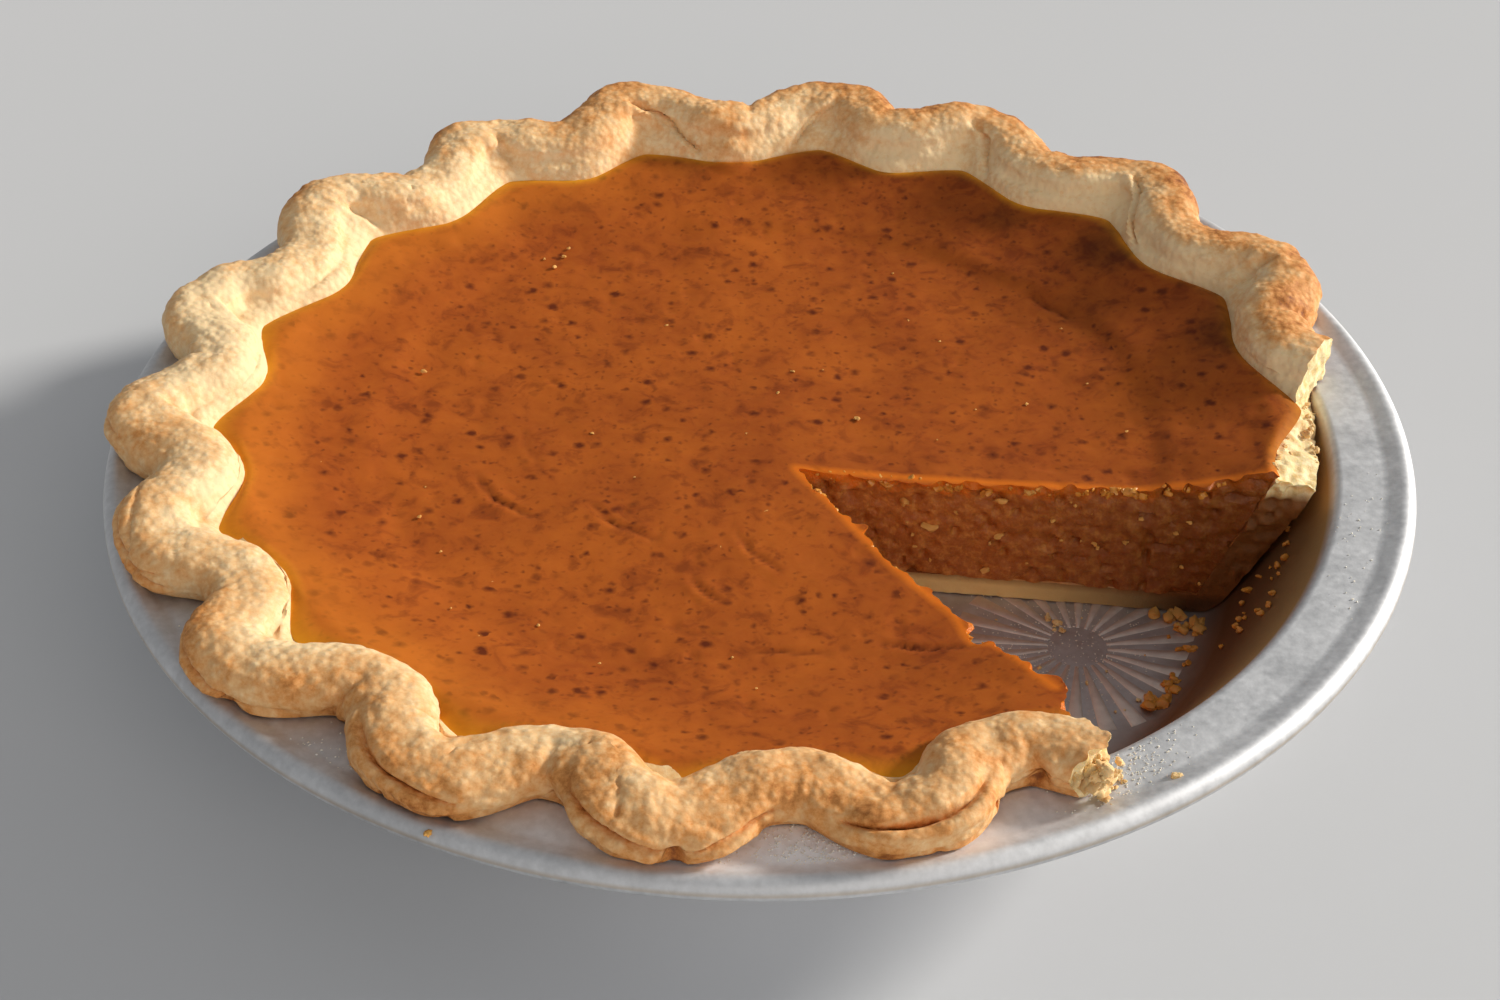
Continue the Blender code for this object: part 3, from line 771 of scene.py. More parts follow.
def baked_pastry(settings):
    """Shortcrust, baked: a dry, floury, pebbly skin, cream in the hollows and gold where it stands up."""
    look, tree, shader, place = new_look("baked shortcrust")
    brown = add(tree, "Attribute", attribute_name="brown").outputs["Fac"]
    mottle = add(tree, "TexNoise", {"Vector": place, "Scale": 1 / (2.4 * MM), "Detail": 6.0,
                                    "Roughness": 0.65})
    speck = add(tree, "TexNoise", {"Vector": place, "Scale": 1 / (0.8 * MM), "Detail": 3.0, "Roughness": 0.7})
    spread = add(tree, "MapRange", {"Value": mottle, "From Min": 0.3, "From Max": 0.7, "To Min": -0.12,
                                    "To Max": 0.12})
    fleck = add(tree, "MapRange", {"Value": speck, "From Min": 0.35, "From Max": 0.65, "To Min": -0.08,
                                   "To Max": 0.08})
    level = add(tree, "Math", {0: brown, 1: spread}, operation="ADD")
    level = add(tree, "Math", {0: level, 1: fleck}, operation="ADD")
    pebble = add(tree, "TexVoronoi", {"Vector": place, "Scale": 1 / (1.6 * MM), "Smoothness": 0.6},
                 feature="SMOOTH_F1")
    # Darker in the crevices between the pebbles: painted shade.
    painted_crevice_shade = add(tree, "MapRange", {"Value": pebble, "From Min": 0.15, "From Max": 0.75, "To Min": -0.05,
                                  "To Max": 0.12})
    level = add(tree, "Math", {0: level, 1: painted_crevice_shade}, operation="ADD")
    ramp = add(tree, "ValToRGB", {"Fac": level})
    grade(ramp, (0.08, settings.pale), (0.40, settings.cream), (0.66, settings.golden),
          (0.84, settings.brown), (0.98, settings.dark))
    grain = add(tree, "TexNoise", {"Vector": place, "Scale": 1 / (0.45 * MM), "Detail": 3.0,
                                   "Roughness": 0.7})
    rough_bump = add(tree, "Bump", {"Height": pebble, "Distance": 0.35 * MM, "Strength": 0.85}, invert=True)
    bump = add(tree, "Bump", {"Height": grain, "Distance": 0.12 * MM, "Strength": 0.5, "Normal": rough_bump})
    wire(tree, shader, {"Base Color": ramp, "Normal": bump, "Roughness": 0.72, "IOR": 1.45,
                        "Subsurface Weight": 0.12, "Subsurface Radius": (1.0, 0.6, 0.3),
                        "Subsurface Scale": 1.2 * MM})
    return look


def broken_pastry(settings):
    """Shortcrust where it was cut or broken: pale and crumbly, and yellow-brown where custard soaked it."""
    look, tree, shader, place = new_look("broken shortcrust")
    crumb = add(tree, "TexNoise", {"Vector": place, "Scale": 1 / (1.8 * MM), "Detail": 6.0,
                                   "Roughness": 0.65})
    ramp = add(tree, "ValToRGB", {"Fac": crumb})
    grade(ramp, (0.30, linear("#E3BC72")), (0.66, settings.inside))
    grain = add(tree, "TexNoise", {"Vector": place, "Scale": 1 / (0.7 * MM), "Detail": 4.0, "Roughness": 0.7})
    bump = add(tree, "Bump", {"Height": grain, "Distance": 0.3 * MM, "Strength": 0.7})
    height = add(tree, "SeparateXYZ", {"Vector": place})
    dry = add(tree, "MapRange", {"Value": height.outputs["Z"], "From Min": 31.0 * MM, "From Max": 33.0 * MM})
    low = add(tree, "MapRange", {"Value": height.outputs["Z"], "From Min": 6.6 * MM, "From Max": 4.2 * MM})
    stained = add(tree, "Mix", {SHARE: crumb, UNDER: linear("#5C3212"), OVER: linear("#9C6228")},
                  data_type="RGBA")
    outward = add(tree, "MapRange", {"Value": height.outputs["X"], "From Min": 50 * MM, "From Max": 86 * MM})
    under = add(tree, "Mix", {SHARE: outward, UNDER: settings.soaked, OVER: linear("#563516")},
                data_type="RGBA")
    wet = add(tree, "Mix", {SHARE: low, UNDER: stained, OVER: under}, data_type="RGBA")
    colour = add(tree, "Mix", {SHARE: dry, UNDER: wet, OVER: ramp}, data_type="RGBA")
    wire(tree, shader, {"Base Color": colour, "Normal": bump, "Roughness": 0.65, "IOR": 1.45,
                        "Subsurface Weight": 0.3, "Subsurface Radius": (1.0, 0.7, 0.4),
                        "Subsurface Scale": 1.2 * MM})
    return look


def outline_cutter(name, outline, low, high, voxel, looks):
    """A solid over an outline in plan, remeshed finely and marked with the second of the materials."""
    graph = bmesh.new()
    face = graph.faces.new([graph.verts.new((x, y, low)) for x, y in outline])
    made = bmesh.ops.extrude_face_region(graph, geom=[face])
    for part in made["geom"]:
        if isinstance(part, bmesh.types.BMVert):
            part.co.z = high
    bmesh.ops.recalc_face_normals(graph, faces=graph.faces)
    cutter = add_piece(name, [], [], looks)
    graph.to_mesh(cutter.data)
    graph.free()
    remesh = cutter.modifiers.new("fine", "REMESH")
    remesh.mode = "VOXEL"
    remesh.voxel_size = voxel
    swap_mesh(cutter)
    cutter.data.materials.clear()
    for look in looks:
        cutter.data.materials.append(look)
    cutter.data.polygons.foreach_set("material_index", np.ones(len(cutter.data.polygons), np.int32))
    return cutter


def roughen(cutter, depth_at):
    """Moves the points of a cutter along their normals. depth_at gives the way for an array of points."""
    points = places_of(cutter.data)
    points += normals_at(cutter.data) * depth_at(points)[:, None]
    move_points(cutter.data, points)


def slice_outline():
    tip, end = np.array(SLICE_TIP), np.array(SLICE_RIGHT_END)
    far = tip + (end - tip) * (CUTTER_REACH - tip[0]) / (end[0] - tip[0])
    return [SLICE_TIP] + SLICE_FRONT + [(CUTTER_REACH, SLICE_FRONT[-1][1]), tuple(far)]


class CrustSettings(bpy.types.PropertyGroup):
    stations: IntProperty(name="Stations", description="Points round the pastry", default=1200, min=90)
    voxel: length_property("Break detail", "Size of the facets where the pastry is broken", 0.5 * MM)
    pale: colour_property("Pale", "Pastry baked least", "#F0D2A2")
    cream: colour_property("Cream", "Pastry in its hollows", "#E6B57B")
    golden: colour_property("Golden", "Pastry where it stands up", "#D79450")
    brown: colour_property("Brown", "Pastry on the most baked flutes", "#B67231")
    dark: colour_property("Dark", "Pastry at its darkest", "#884C1D")
    inside: colour_property("Inside", "Pastry where it is broken", "#FBEABB")
    soaked: colour_property("Soaked", "Cut pastry under the custard", "#F0D08E")


class PIE_OT_crust(bpy.types.Operator):
    """Makes the fluted pastry, cut at the slice and broken at the rim beside it"""
    bl_idname = "pie.crust"
    bl_label = "Pastry"

    def execute(self, context):
        settings = context.scene.pie_crust
        looks = [baked_pastry(settings), broken_pastry(settings)]
        angles = np.linspace(0, TAU, settings.stations, endpoint=False)
        points, brown = pastry_points(angles)
        crust = lofted("crust_fluted", points, looks)
        uncut = places_of(crust.data)

        slice_gone = outline_cutter("slice_gone", slice_outline(), CUTTER_BOTTOM, CUTTER_TOP, settings.voxel,
                                    looks)

        def crumbled(at):
            rope = smooth_step((at[:, 2] - 16 * MM) / (12 * MM))
            near = (np.hypot(at[:, 0], at[:, 1]) < 140 * MM).astype(float)
            fine = 0.12 * MM * lumps(at, 1.6 * MM, 21) + 0.10 * MM * lumps(at, 4 * MM, 22)
            fine *= 1 + 2.5 * smooth_step((at[:, 2] - 7 * MM) / (4 * MM))
            coarse = 0.7 * MM * lumps(at, 3.4 * MM, 23) + 0.55 * MM * lumps(at, 1.5 * MM, 24)
            return near * (fine + coarse * rope)

        roughen(slice_gone, crumbled)
        cut_away(crust, slice_gone)

        rim_gone = outline_cutter("rim_gone", BREAK_CORNERS, RIM_TOP, CUTTER_TOP, settings.voxel, looks)
        points = places_of(rim_gone.data)
        floor = np.maximum(BREAK_HIGH[1] + BREAK_SLOPE * (points[:, 0] - BREAK_HIGH[0]),
                           BREAK_LOW[1] - 1 * MM)
        points[:, 2] += (floor - RIM_TOP) * (1 - smooth_step((points[:, 2] - RIM_TOP) / (8 * MM)))
        move_points(rim_gone.data, points)
        roughen(rim_gone, lambda at: (0.5 * lumps(at, 5 * MM, 25) + 0.32 * lumps(at, 2.4 * MM, 26)
                                      + 0.30 * lumps(at, 1.3 * MM, 27)) * MM)
        cut_away(crust, rim_gone)
        note_nearest(crust, uncut, {"brown": np.concatenate([brown.ravel(), [0.3, 1.0]])})
        finish_piece(crust)
        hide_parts("crust")
        return {"FINISHED"}


def filling_top(radius):
    rise = np.clip((radius - FILL_FLAT_RADIUS) / (FILL_EDGE_RADIUS - FILL_FLAT_RADIUS), 0, 1)
    return FILL_MIDDLE + FILL_RISE * rise ** FILL_CURVE


def cut_distance(points):
    """Distance in plan of each point from the sides of the missing slice, for points outside it."""
    outline = slice_outline()
    best = np.full(points.shape[:-1], 1.0)
    for (x0, y0), (x1, y1) in list(zip(outline, outline[1:]))[:6] + [(outline[-1], outline[0])]:
        along = np.array([x1 - x0, y1 - y0])
        off = points[..., :2] - np.array([x0, y0])
        t = np.clip(off @ along / (along @ along), 0, 1)
        best = np.minimum(best, np.linalg.norm(off - t[..., None] * along, axis=-1))
    return best


def crack_relief(points):
    """Relief of the cracks in the filling's skin, and how deep in one each point is, from 0 to 1."""
    relief = np.zeros(points.shape[:-1])
    depth_share = np.zeros_like(relief)
    for number, (x, y, heading, length, bend, depth) in enumerate(CRACKS):
        draw = random.Random(number)
        steps = int(length / (0.6 * MM))
        away = np.full(relief.shape, 1.0)
        share = np.zeros_like(relief)
        for i in range(steps):
            way = math.radians(heading + bend * i / steps + 9 * math.sin(i * 0.4 + number))
            x += math.cos(way) * 0.6 * MM
            y += math.sin(way) * 0.6 * MM
            distance = np.hypot(points[..., 0] - x, points[..., 1] - y)
            closer = distance < away
            away = np.where(closer, distance, away)
            share = np.where(closer, math.sin(math.pi * (i + 1) / (steps + 1)) ** 0.5 * draw.uniform(0.7, 1),
                             share)
        line = hump(away, 0.55 * MM) * share
        relief += depth * (0.35 * hump(away - 1.7 * MM, 1.0 * MM) * share - line)
        depth_share = np.maximum(depth_share, line * depth / (0.55 * MM))
    return relief, np.clip(depth_share, 0, 1)


def filling_points(angles, cell):
    """The filling's points with their relief, and for each: distance from the pastry, and crack depth."""
    ones = np.ones_like(angles)
    rings = []
    for z in (BASE_TOP + SEAM, 20 * MM, 30 * MM, FILL_LINE - 1 * MM):
        radius = pastry_inside(angles, z) - SEAM
        rings.append(np.stack([radius, z * ones], -1))
    edge = pastry_inside(angles, FILL_LINE) + 0.3 * MM
    inset = 0.0
    insets = []
    while inset < FILL_RADIUS - 3 * MM:
        insets.append(inset)
        inset += cell * (0.6 if inset < 3 * MM else 1.0 if inset < 72 * MM else 1.8)
    for inset in insets:
        fluted = np.exp(-inset / (9 * MM))
        radius = (FILL_RADIUS - inset) * (1 - fluted) + (edge - inset) * fluted
        height = filling_top(radius)
        height = height + (FILL_LINE - height) * np.exp(-inset / (1.0 * MM))
        rings.append(np.stack([radius, height], -1))
    points = turned(np.array(rings), angles)
    inset = np.array([9 * MM] * 4 + insets)[:, None] * ones
    top = (np.arange(len(rings)) >= 4)[:, None] * ones

    radius = np.hypot(points[..., 0], points[..., 1])
    turn = np.arctan2(points[..., 1], points[..., 0])
    flat = points * np.array([1, 1, 0])
    band = smooth_step((radius - 66 * MM) / (16 * MM))
    relief = 0.32 * MM * lumps(flat, 26 * MM, 41) + 0.13 * MM * lumps(flat, 8 * MM, 42)
    relief += 0.05 * MM * lumps(flat, 2.6 * MM, 43) + band * 0.22 * MM * lumps(flat, 11 * MM, 44)
    # The risen outer band ends in a soft step, strongest at the back right.
    step = radius - (77 * MM + 2.5 * MM * np.sin(3 * turn + 1) + 1.5 * MM * lumps(flat, 20 * MM, 45))
    strength = 0.35 + 0.65 * hump((np.degrees(turn) - 30), 55)
    relief += 0.7 * MM * strength * (smooth_step(step / (5 * MM)) - 0.25 * hump(step + 1 * MM, 3 * MM))
    # A lifted flap at the step in the cut, and a blister that touches the pastry at the back.
    relief += 1.1 * MM * hump(np.hypot(points[..., 0] - 45 * MM, points[..., 1] + 75 * MM), 8 * MM)
    blister = np.hypot(points[..., 0] + 6 * MM, points[..., 1] - 102 * MM)
    relief += 0.9 * MM * smooth_step((7 * MM - blister) / (3 * MM))
    # Small pits and bubbles in the skin.
    pit = np.clip(lumps(flat, 3.4 * MM, 46) - 0.80, 0, 1)
    relief -= 0.5 * MM * pit
    cracked, crack = crack_relief(points)
    relief += cracked
    settled = smooth_step(inset / (2.5 * MM)) * top
    points[..., 2] += relief * settled
    return points, inset, crack * settled


def custard_skin(settings):
    """Baked pumpkin custard: a dull satin skin, orange-brown, specked with spice, yellow along the pastry."""
    look, tree, shader, place = new_look("baked custard skin")
    edge = add(tree, "Attribute", attribute_name="edge").outputs["Fac"]
    crack = add(tree, "Attribute", attribute_name="crack").outputs["Fac"]
    lip = add(tree, "Attribute", attribute_name="lip").outputs["Fac"]
    cloud = add(tree, "TexNoise", {"Vector": place, "Scale": 1 / (22 * MM), "Detail": 4.0, "Roughness": 0.55})
    shade = add(tree, "MapRange", {"Value": cloud, "From Min": 0.32, "From Max": 0.68})
    colour = add(tree, "Mix", {SHARE: shade, UNDER: settings.deep, OVER: settings.custard}, data_type="RGBA")
    # Painted shade: the outer band at the back right is darkened, where the pastry's shadow falls.
    painted_shade_back_right = add(tree, "VectorMath", {0: place, 1: (0.74, 0.67, 0.0)}, operation="DOT_PRODUCT")
    painted_shade_back_right = add(tree, "MapRange", {"Value": painted_shade_back_right, "From Min": 48 * MM, "From Max": 98 * MM, "To Max": 0.86})
    colour = add(tree, "Mix", {SHARE: painted_shade_back_right, UNDER: colour, OVER: settings.baked}, data_type="RGBA")
    # Painted shadows: dark patches on the skin beside the flutes at the back right.
    for x, y, reach, strength in PAINTED_SHADOW_PATCHES:
        away = add(tree, "VectorMath", {0: place, 1: (x, y, 36 * MM)}, operation="DISTANCE")
        away = add(tree, "MapRange", {"Value": away, "From Min": reach, "From Max": 0.2 * reach,
                                      "To Max": strength}, interpolation_type="SMOOTHSTEP")
        colour = add(tree, "Mix", {SHARE: away, UNDER: colour, OVER: linear("#3C1A08")}, data_type="RGBA")
    # Streaks left as the custard was poured, and stretched round as it set.
    streak = add(tree, "TexNoise", {"Vector": place, "Scale": 1 / (5 * MM), "Detail": 5.0, "Roughness": 0.6,
                                    "Distortion": 0.6})
    streaked = add(tree, "MapRange", {"Value": streak, "From Min": 0.35, "From Max": 0.65, "To Max": 0.30})
    colour = add(tree, "Mix", {SHARE: streaked, UNDER: colour, OVER: settings.bright}, data_type="RGBA")
    # Specks of spice: soft flecks about a millimetre long, and a few larger ones.
    bend = add(tree, "TexNoise", {"Vector": place, "Scale": 1 / (1.6 * MM), "Detail": 1.0})
    bend = add(tree, "VectorMath", {0: bend.outputs["Color"], "Scale": 1.5 * MM}, operation="SCALE")
    bent = add(tree, "VectorMath", {0: place, 1: bend}, operation="ADD")
    stain = add(tree, "MapRange", {"Value": streak, "From Min": 0.46, "From Max": 0.30, "To Max": 0.45})
    colour = add(tree, "Mix", {SHARE: stain, UNDER: colour, OVER: settings.spice}, data_type="RGBA")
    for size, share, reach, strength in ((4.4 * MM, 0.35, 0.34, 0.80), (2.9 * MM, 0.50, 0.32, 0.60),
                                         (1.5 * MM, 0.45, 0.42, 0.42)):
        cell = add(tree, "TexVoronoi", {"Vector": bent, "Scale": 1 / size}, voronoi_dimensions="3D")
        spot = add(tree, "MapRange", {"Value": cell, "From Min": reach, "From Max": 0.0})
        kept = add(tree, "SeparateXYZ", {"Vector": cell.outputs["Color"]})
        kept = add(tree, "MapRange", {"Value": kept.outputs["X"], "From Min": share, "From Max": 1.0,
                                      "To Max": 2.2 * strength})
        mark = add(tree, "Math", {0: spot, 1: kept}, operation="MULTIPLY", use_clamp=True)
        colour = add(tree, "Mix", {SHARE: mark, UNDER: colour, OVER: settings.spice}, data_type="RGBA")
    # Toward the pastry the custard is thinner and less deep in colour, most toward the left.
    thin = add(tree, "MapRange", {"Value": edge, "From Min": 19 * MM, "From Max": 3 * MM, "To Max": 0.42},
               interpolation_type="SMOOTHSTEP")
    toward_left = add(tree, "SeparateXYZ", {"Vector": place})
    toward_left = add(tree, "MapRange", {"Value": toward_left.outputs["X"], "From Min": 10 * MM, "From Max": -60 * MM})
    thin = add(tree, "Math", {0: thin, 1: toward_left}, operation="MULTIPLY")
    colour = add(tree, "Mix", {SHARE: thin, UNDER: colour, OVER: linear("#D27A22")}, data_type="RGBA")
    # Thin custard dries yellow along the pastry. A cut's edge is bright: its own colour, and a painted
    # highlight.
    near = add(tree, "MapRange", {"Value": edge, "From Min": 4.2 * MM, "From Max": 0.4 * MM})
    near = add(tree, "Math", {0: near, 1: 1.7}, operation="POWER")
    ragged = add(tree, "MapRange", {"Value": streak, "From Min": 0.3, "From Max": 0.7, "To Min": 0.6})
    near = add(tree, "Math", {0: near, 1: ragged}, operation="MULTIPLY")
    # The yellow is held back toward the right: painted shade where the flutes' shadows fall on the edge.
    side = add(tree, "SeparateXYZ", {"Vector": place})
    side = add(tree, "MapRange", {"Value": side.outputs["X"], "From Min": 70 * MM, "From Max": 96 * MM,
                                  "To Min": 1.0, "To Max": 0.35})
    near = add(tree, "Math", {0: near, 1: side}, operation="MULTIPLY")
    colour = add(tree, "Mix", {SHARE: near, UNDER: colour, OVER: settings.edge}, data_type="RGBA")
    bright = add(tree, "MapRange", {"Value": lip, "From Min": 1.8 * MM, "From Max": 0.2 * MM, "To Max": 0.75})
    colour = add(tree, "Mix", {SHARE: bright, UNDER: colour, OVER: settings.lip}, data_type="RGBA")
    colour = add(tree, "Mix", {SHARE: crack, UNDER: colour, OVER: settings.spice}, data_type="RGBA")
    fine = add(tree, "TexNoise", {"Vector": place, "Scale": 1 / (1.4 * MM), "Detail": 4.0, "Roughness": 0.6})
    bump = add(tree, "Bump", {"Height": fine, "Distance": 0.10 * MM, "Strength": 0.35})
    sheen = add(tree, "MapRange", {"Value": cloud, "From Min": 0.3, "From Max": 0.7, "To Min": 0.60,
                                   "To Max": 0.70})
    # The skin is dry and full of fine pores, so it gives back less than a wet one.
    wire(tree, shader, {"Base Color": colour, "Roughness": sheen, "Normal": bump, "IOR": 1.40,
                        "Specular IOR Level": 0.15, "Subsurface Weight": 0.15,
                        "Subsurface Radius": (1.0, 0.35, 0.1), "Subsurface Scale": 2.0 * MM})
    return look


def custard_cut(settings):
    """Set custard where a knife went through: grainy and moist, brown-orange, brightest at its top edge."""
    look, tree, shader, place = new_look("cut custard")
    grain = add(tree, "TexNoise", {"Vector": place, "Scale": 1 / (2.0 * MM), "Detail": 6.0, "Roughness": 0.7})
    ramp = add(tree, "ValToRGB", {"Fac": grain})
    grade(ramp, (0.30, linear("#9A4F1A")), (0.5, settings.cut), (0.72, linear("#DD9648")))
    height = add(tree, "SeparateXYZ", {"Vector": place})
    under = add(tree, "Attribute", attribute_name="under").outputs["Fac"]
    wobble = add(tree, "TexNoise", {"Vector": place, "Scale": 1 / (3 * MM), "Detail": 3.0})
    lift = add(tree, "MapRange", {"Value": wobble, "From Min": 0.3, "From Max": 0.7, "To Min": -1.8 * MM,
                                  "To Max": 1.8 * MM})
    level = add(tree, "Math", {0: under, 1: lift}, operation="ADD")
    # Brighter orange along the top edge: partly the custard's own colour, partly a painted highlight.
    top = add(tree, "MapRange", {"Value": level, "From Min": 3.2 * MM, "From Max": 1.2 * MM, "To Max": 0.85})
    colour = add(tree, "Mix", {SHARE: top, UNDER: ramp, OVER: settings.lip}, data_type="RGBA")
    # Darker toward the wall of the tin.
    outward = add(tree, "MapRange", {"Value": height.outputs["X"], "From Min": 45 * MM, "From Max": 92 * MM,
                                     "To Max": 0.60})
    colour = add(tree, "Mix", {SHARE: outward, UNDER: colour, OVER: linear("#552408")}, data_type="RGBA")
    fine = add(tree, "TexNoise", {"Vector": place, "Scale": 1 / (0.8 * MM), "Detail": 5.0, "Roughness": 0.7})
    bump = add(tree, "Bump", {"Height": fine, "Distance": 0.45 * MM, "Strength": 0.8})
    wire(tree, shader, {"Base Color": colour, "Normal": bump, "Roughness": 0.28, "IOR": 1.40,
                        "Subsurface Weight": 0.15, "Subsurface Radius": (1.0, 0.35, 0.1),
                        "Subsurface Scale": 2.0 * MM})
    return look


class FillingSettings(bpy.types.PropertyGroup):
    stations: IntProperty(name="Stations", description="Points round the filling", default=720, min=90)
    cell: length_property("Detail", "Distance between points of the top", 1.0 * MM)
    voxel: length_property("Cut detail", "Size of the facets of the cut faces", 0.6 * MM)
    custard: colour_property("Custard", "The skin of the custard", "#B0591B")
    deep: colour_property("Deep", "The darker clouds in the skin", "#954515")
    # Colour of the painted shade on the outer band at the back right.
    baked: colour_property("Baked", "The skin where it baked darkest", "#7E370F")
    bright: colour_property("Bright", "The lighter streaks in the skin", "#C2691F")
    spice: colour_property("Spice", "Specks of spice", "#62270B")
    edge: colour_property("Edge", "Custard dried along the pastry", "#E79C22")
    # Also a painted highlight along the cut's top edge.
    lip: colour_property("Lip", "Custard at the edge of a cut", "#E2771A")
    cut: colour_property("Cut", "Custard inside", "#B4672A")


class PIE_OT_filling(bpy.types.Operator):
    """Makes the custard with its skin, and cuts the slice out of it"""
    bl_idname = "pie.filling"
    bl_label = "Filling"

    def execute(self, context):
        settings = context.scene.pie_filling
        looks = [custard_skin(settings), custard_cut(settings)]
        angles = np.linspace(0, TAU, settings.stations, endpoint=False)
        points, inset, crack = filling_points(angles, settings.cell)
        filling = lofted("filling_custard", points, looks)
        uncut = places_of(filling.data)

        slice_gone = outline_cutter("slice_gone", slice_outline(), CUTTER_BOTTOM, CUTTER_TOP, settings.voxel,
                                    looks)

        def knifed(at):
            radius = np.hypot(at[:, 0], at[:, 1])
            near = (radius < 125 * MM).astype(float)
            under_top = filling_top(radius) - at[:, 2]
            lip = 1 - smooth_step(under_top / (2.4 * MM))
            lip *= 0.3 + np.clip(lumps(at, 2.8 * MM, 51), -0.2, 1)
            holes = np.clip(lumps(at, 2.0 * MM, 52) - 0.55, 0, 1) * 1.9 * MM
            grain = 0.32 * MM * lumps(at, 2.6 * MM, 53) + 0.24 * MM * lumps(at, 1.3 * MM, 54)
            wave = 0.4 * MM * lumps(at, 9 * MM, 55)
            return near * (grain + holes + wave - 1.7 * MM * lip)

        roughen(slice_gone, knifed)
        cut_away(filling, slice_gone)
        note_nearest(filling, uncut, {"edge": np.append(inset.ravel(), [1, 1]),
                                      "crack": np.append(crack.ravel(), [0, 0])})
        made = places_of(filling.data)
        note(filling, "lip", cut_distance(made))
        note(filling, "under", filling_top(np.hypot(made[:, 0], made[:, 1])) - made[:, 2])
        finish_piece(filling)
        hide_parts("filling")
        return {"FINISHED"}


def flakes(name, spots, detail, look):
    """One piece of many small irregular lumps. A spot is a place, a size and a flatness."""
    graph = bmesh.new()
    bmesh.ops.create_icosphere(graph, subdivisions=detail, radius=0.5)
    ball = np.array([v.co for v in graph.verts])
    faces = np.array([[v.index for v in face.verts] for face in graph.faces])
    graph.free()
    points, sides = [], []
    for number, (x, y, z, size, flat) in enumerate(spots):
        draw = random.Random(number)
        turn = draw.uniform(0, TAU)
        stretch = np.array([draw.uniform(0.8, 1.3), draw.uniform(0.65, 1.0), flat])
        craggy = 0.42 * lumps(ball, 0.45, number % 97) + 0.24 * lumps(ball, 0.18, number % 89)
        craggy *= 1 if size < 6 * MM else 0.15
        lump = ball * (1 + craggy[:, None]) * stretch * size
        spun = lump @ np.array([[math.cos(turn), math.sin(turn), 0], [-math.sin(turn), math.cos(turn), 0],
                                [0, 0, 1]])
        spun[:, 2] -= spun[:, 2].min()
        sides.append(faces + len(points) * len(ball))
        points.append(spun + np.array([x, y, z]))
    piece = add_piece(name, np.concatenate(points), np.concatenate(sides).tolist(), [look])
    finish_piece(piece, 50)


def crumb_look(name, light, dark, roughness):
    """Loose crumb, uneven in colour: shortcrust is dry and matt, and custard is moist."""
    look, tree, shader, place = new_look(name)
    tone = add(tree, "TexNoise", {"Vector": place, "Scale": 1 / (1.5 * MM), "Detail": 3.0})
    colour = add(tree, "Mix", {SHARE: tone, UNDER: light, OVER: dark}, data_type="RGBA")
    grain = add(tree, "TexNoise", {"Vector": place, "Scale": 1 / (0.5 * MM), "Detail": 3.0, "Roughness": 0.7})
    bump = add(tree, "Bump", {"Height": grain, "Distance": 0.15 * MM, "Strength": 0.7})
    wire(tree, shader, {"Base Color": colour, "Normal": bump, "Subsurface Weight": 0.25,
                        "Subsurface Radius": (1.0, 0.7, 0.4), "Subsurface Scale": 1.0 * MM,
                        "Roughness": roughness, "IOR": 1.45})
    return look


class CrumbSettings(bpy.types.PropertyGroup):
    flour: IntProperty(name="Flour", description="Grains of flour that are drawn for the tin", default=2600,
                       min=1700)
    seed: IntProperty(name="Seed", description="Draw of the places", default=4)
    pale: colour_property("Pale crumb", "Crumb from the inside of the pastry", "#F3DFAF")
    golden: colour_property("Golden crumb", "Crumb from the skin of the pastry", "#D2943F")
    custard: colour_property("Custard crumb", "Bits of custard", "#CA7E2A")


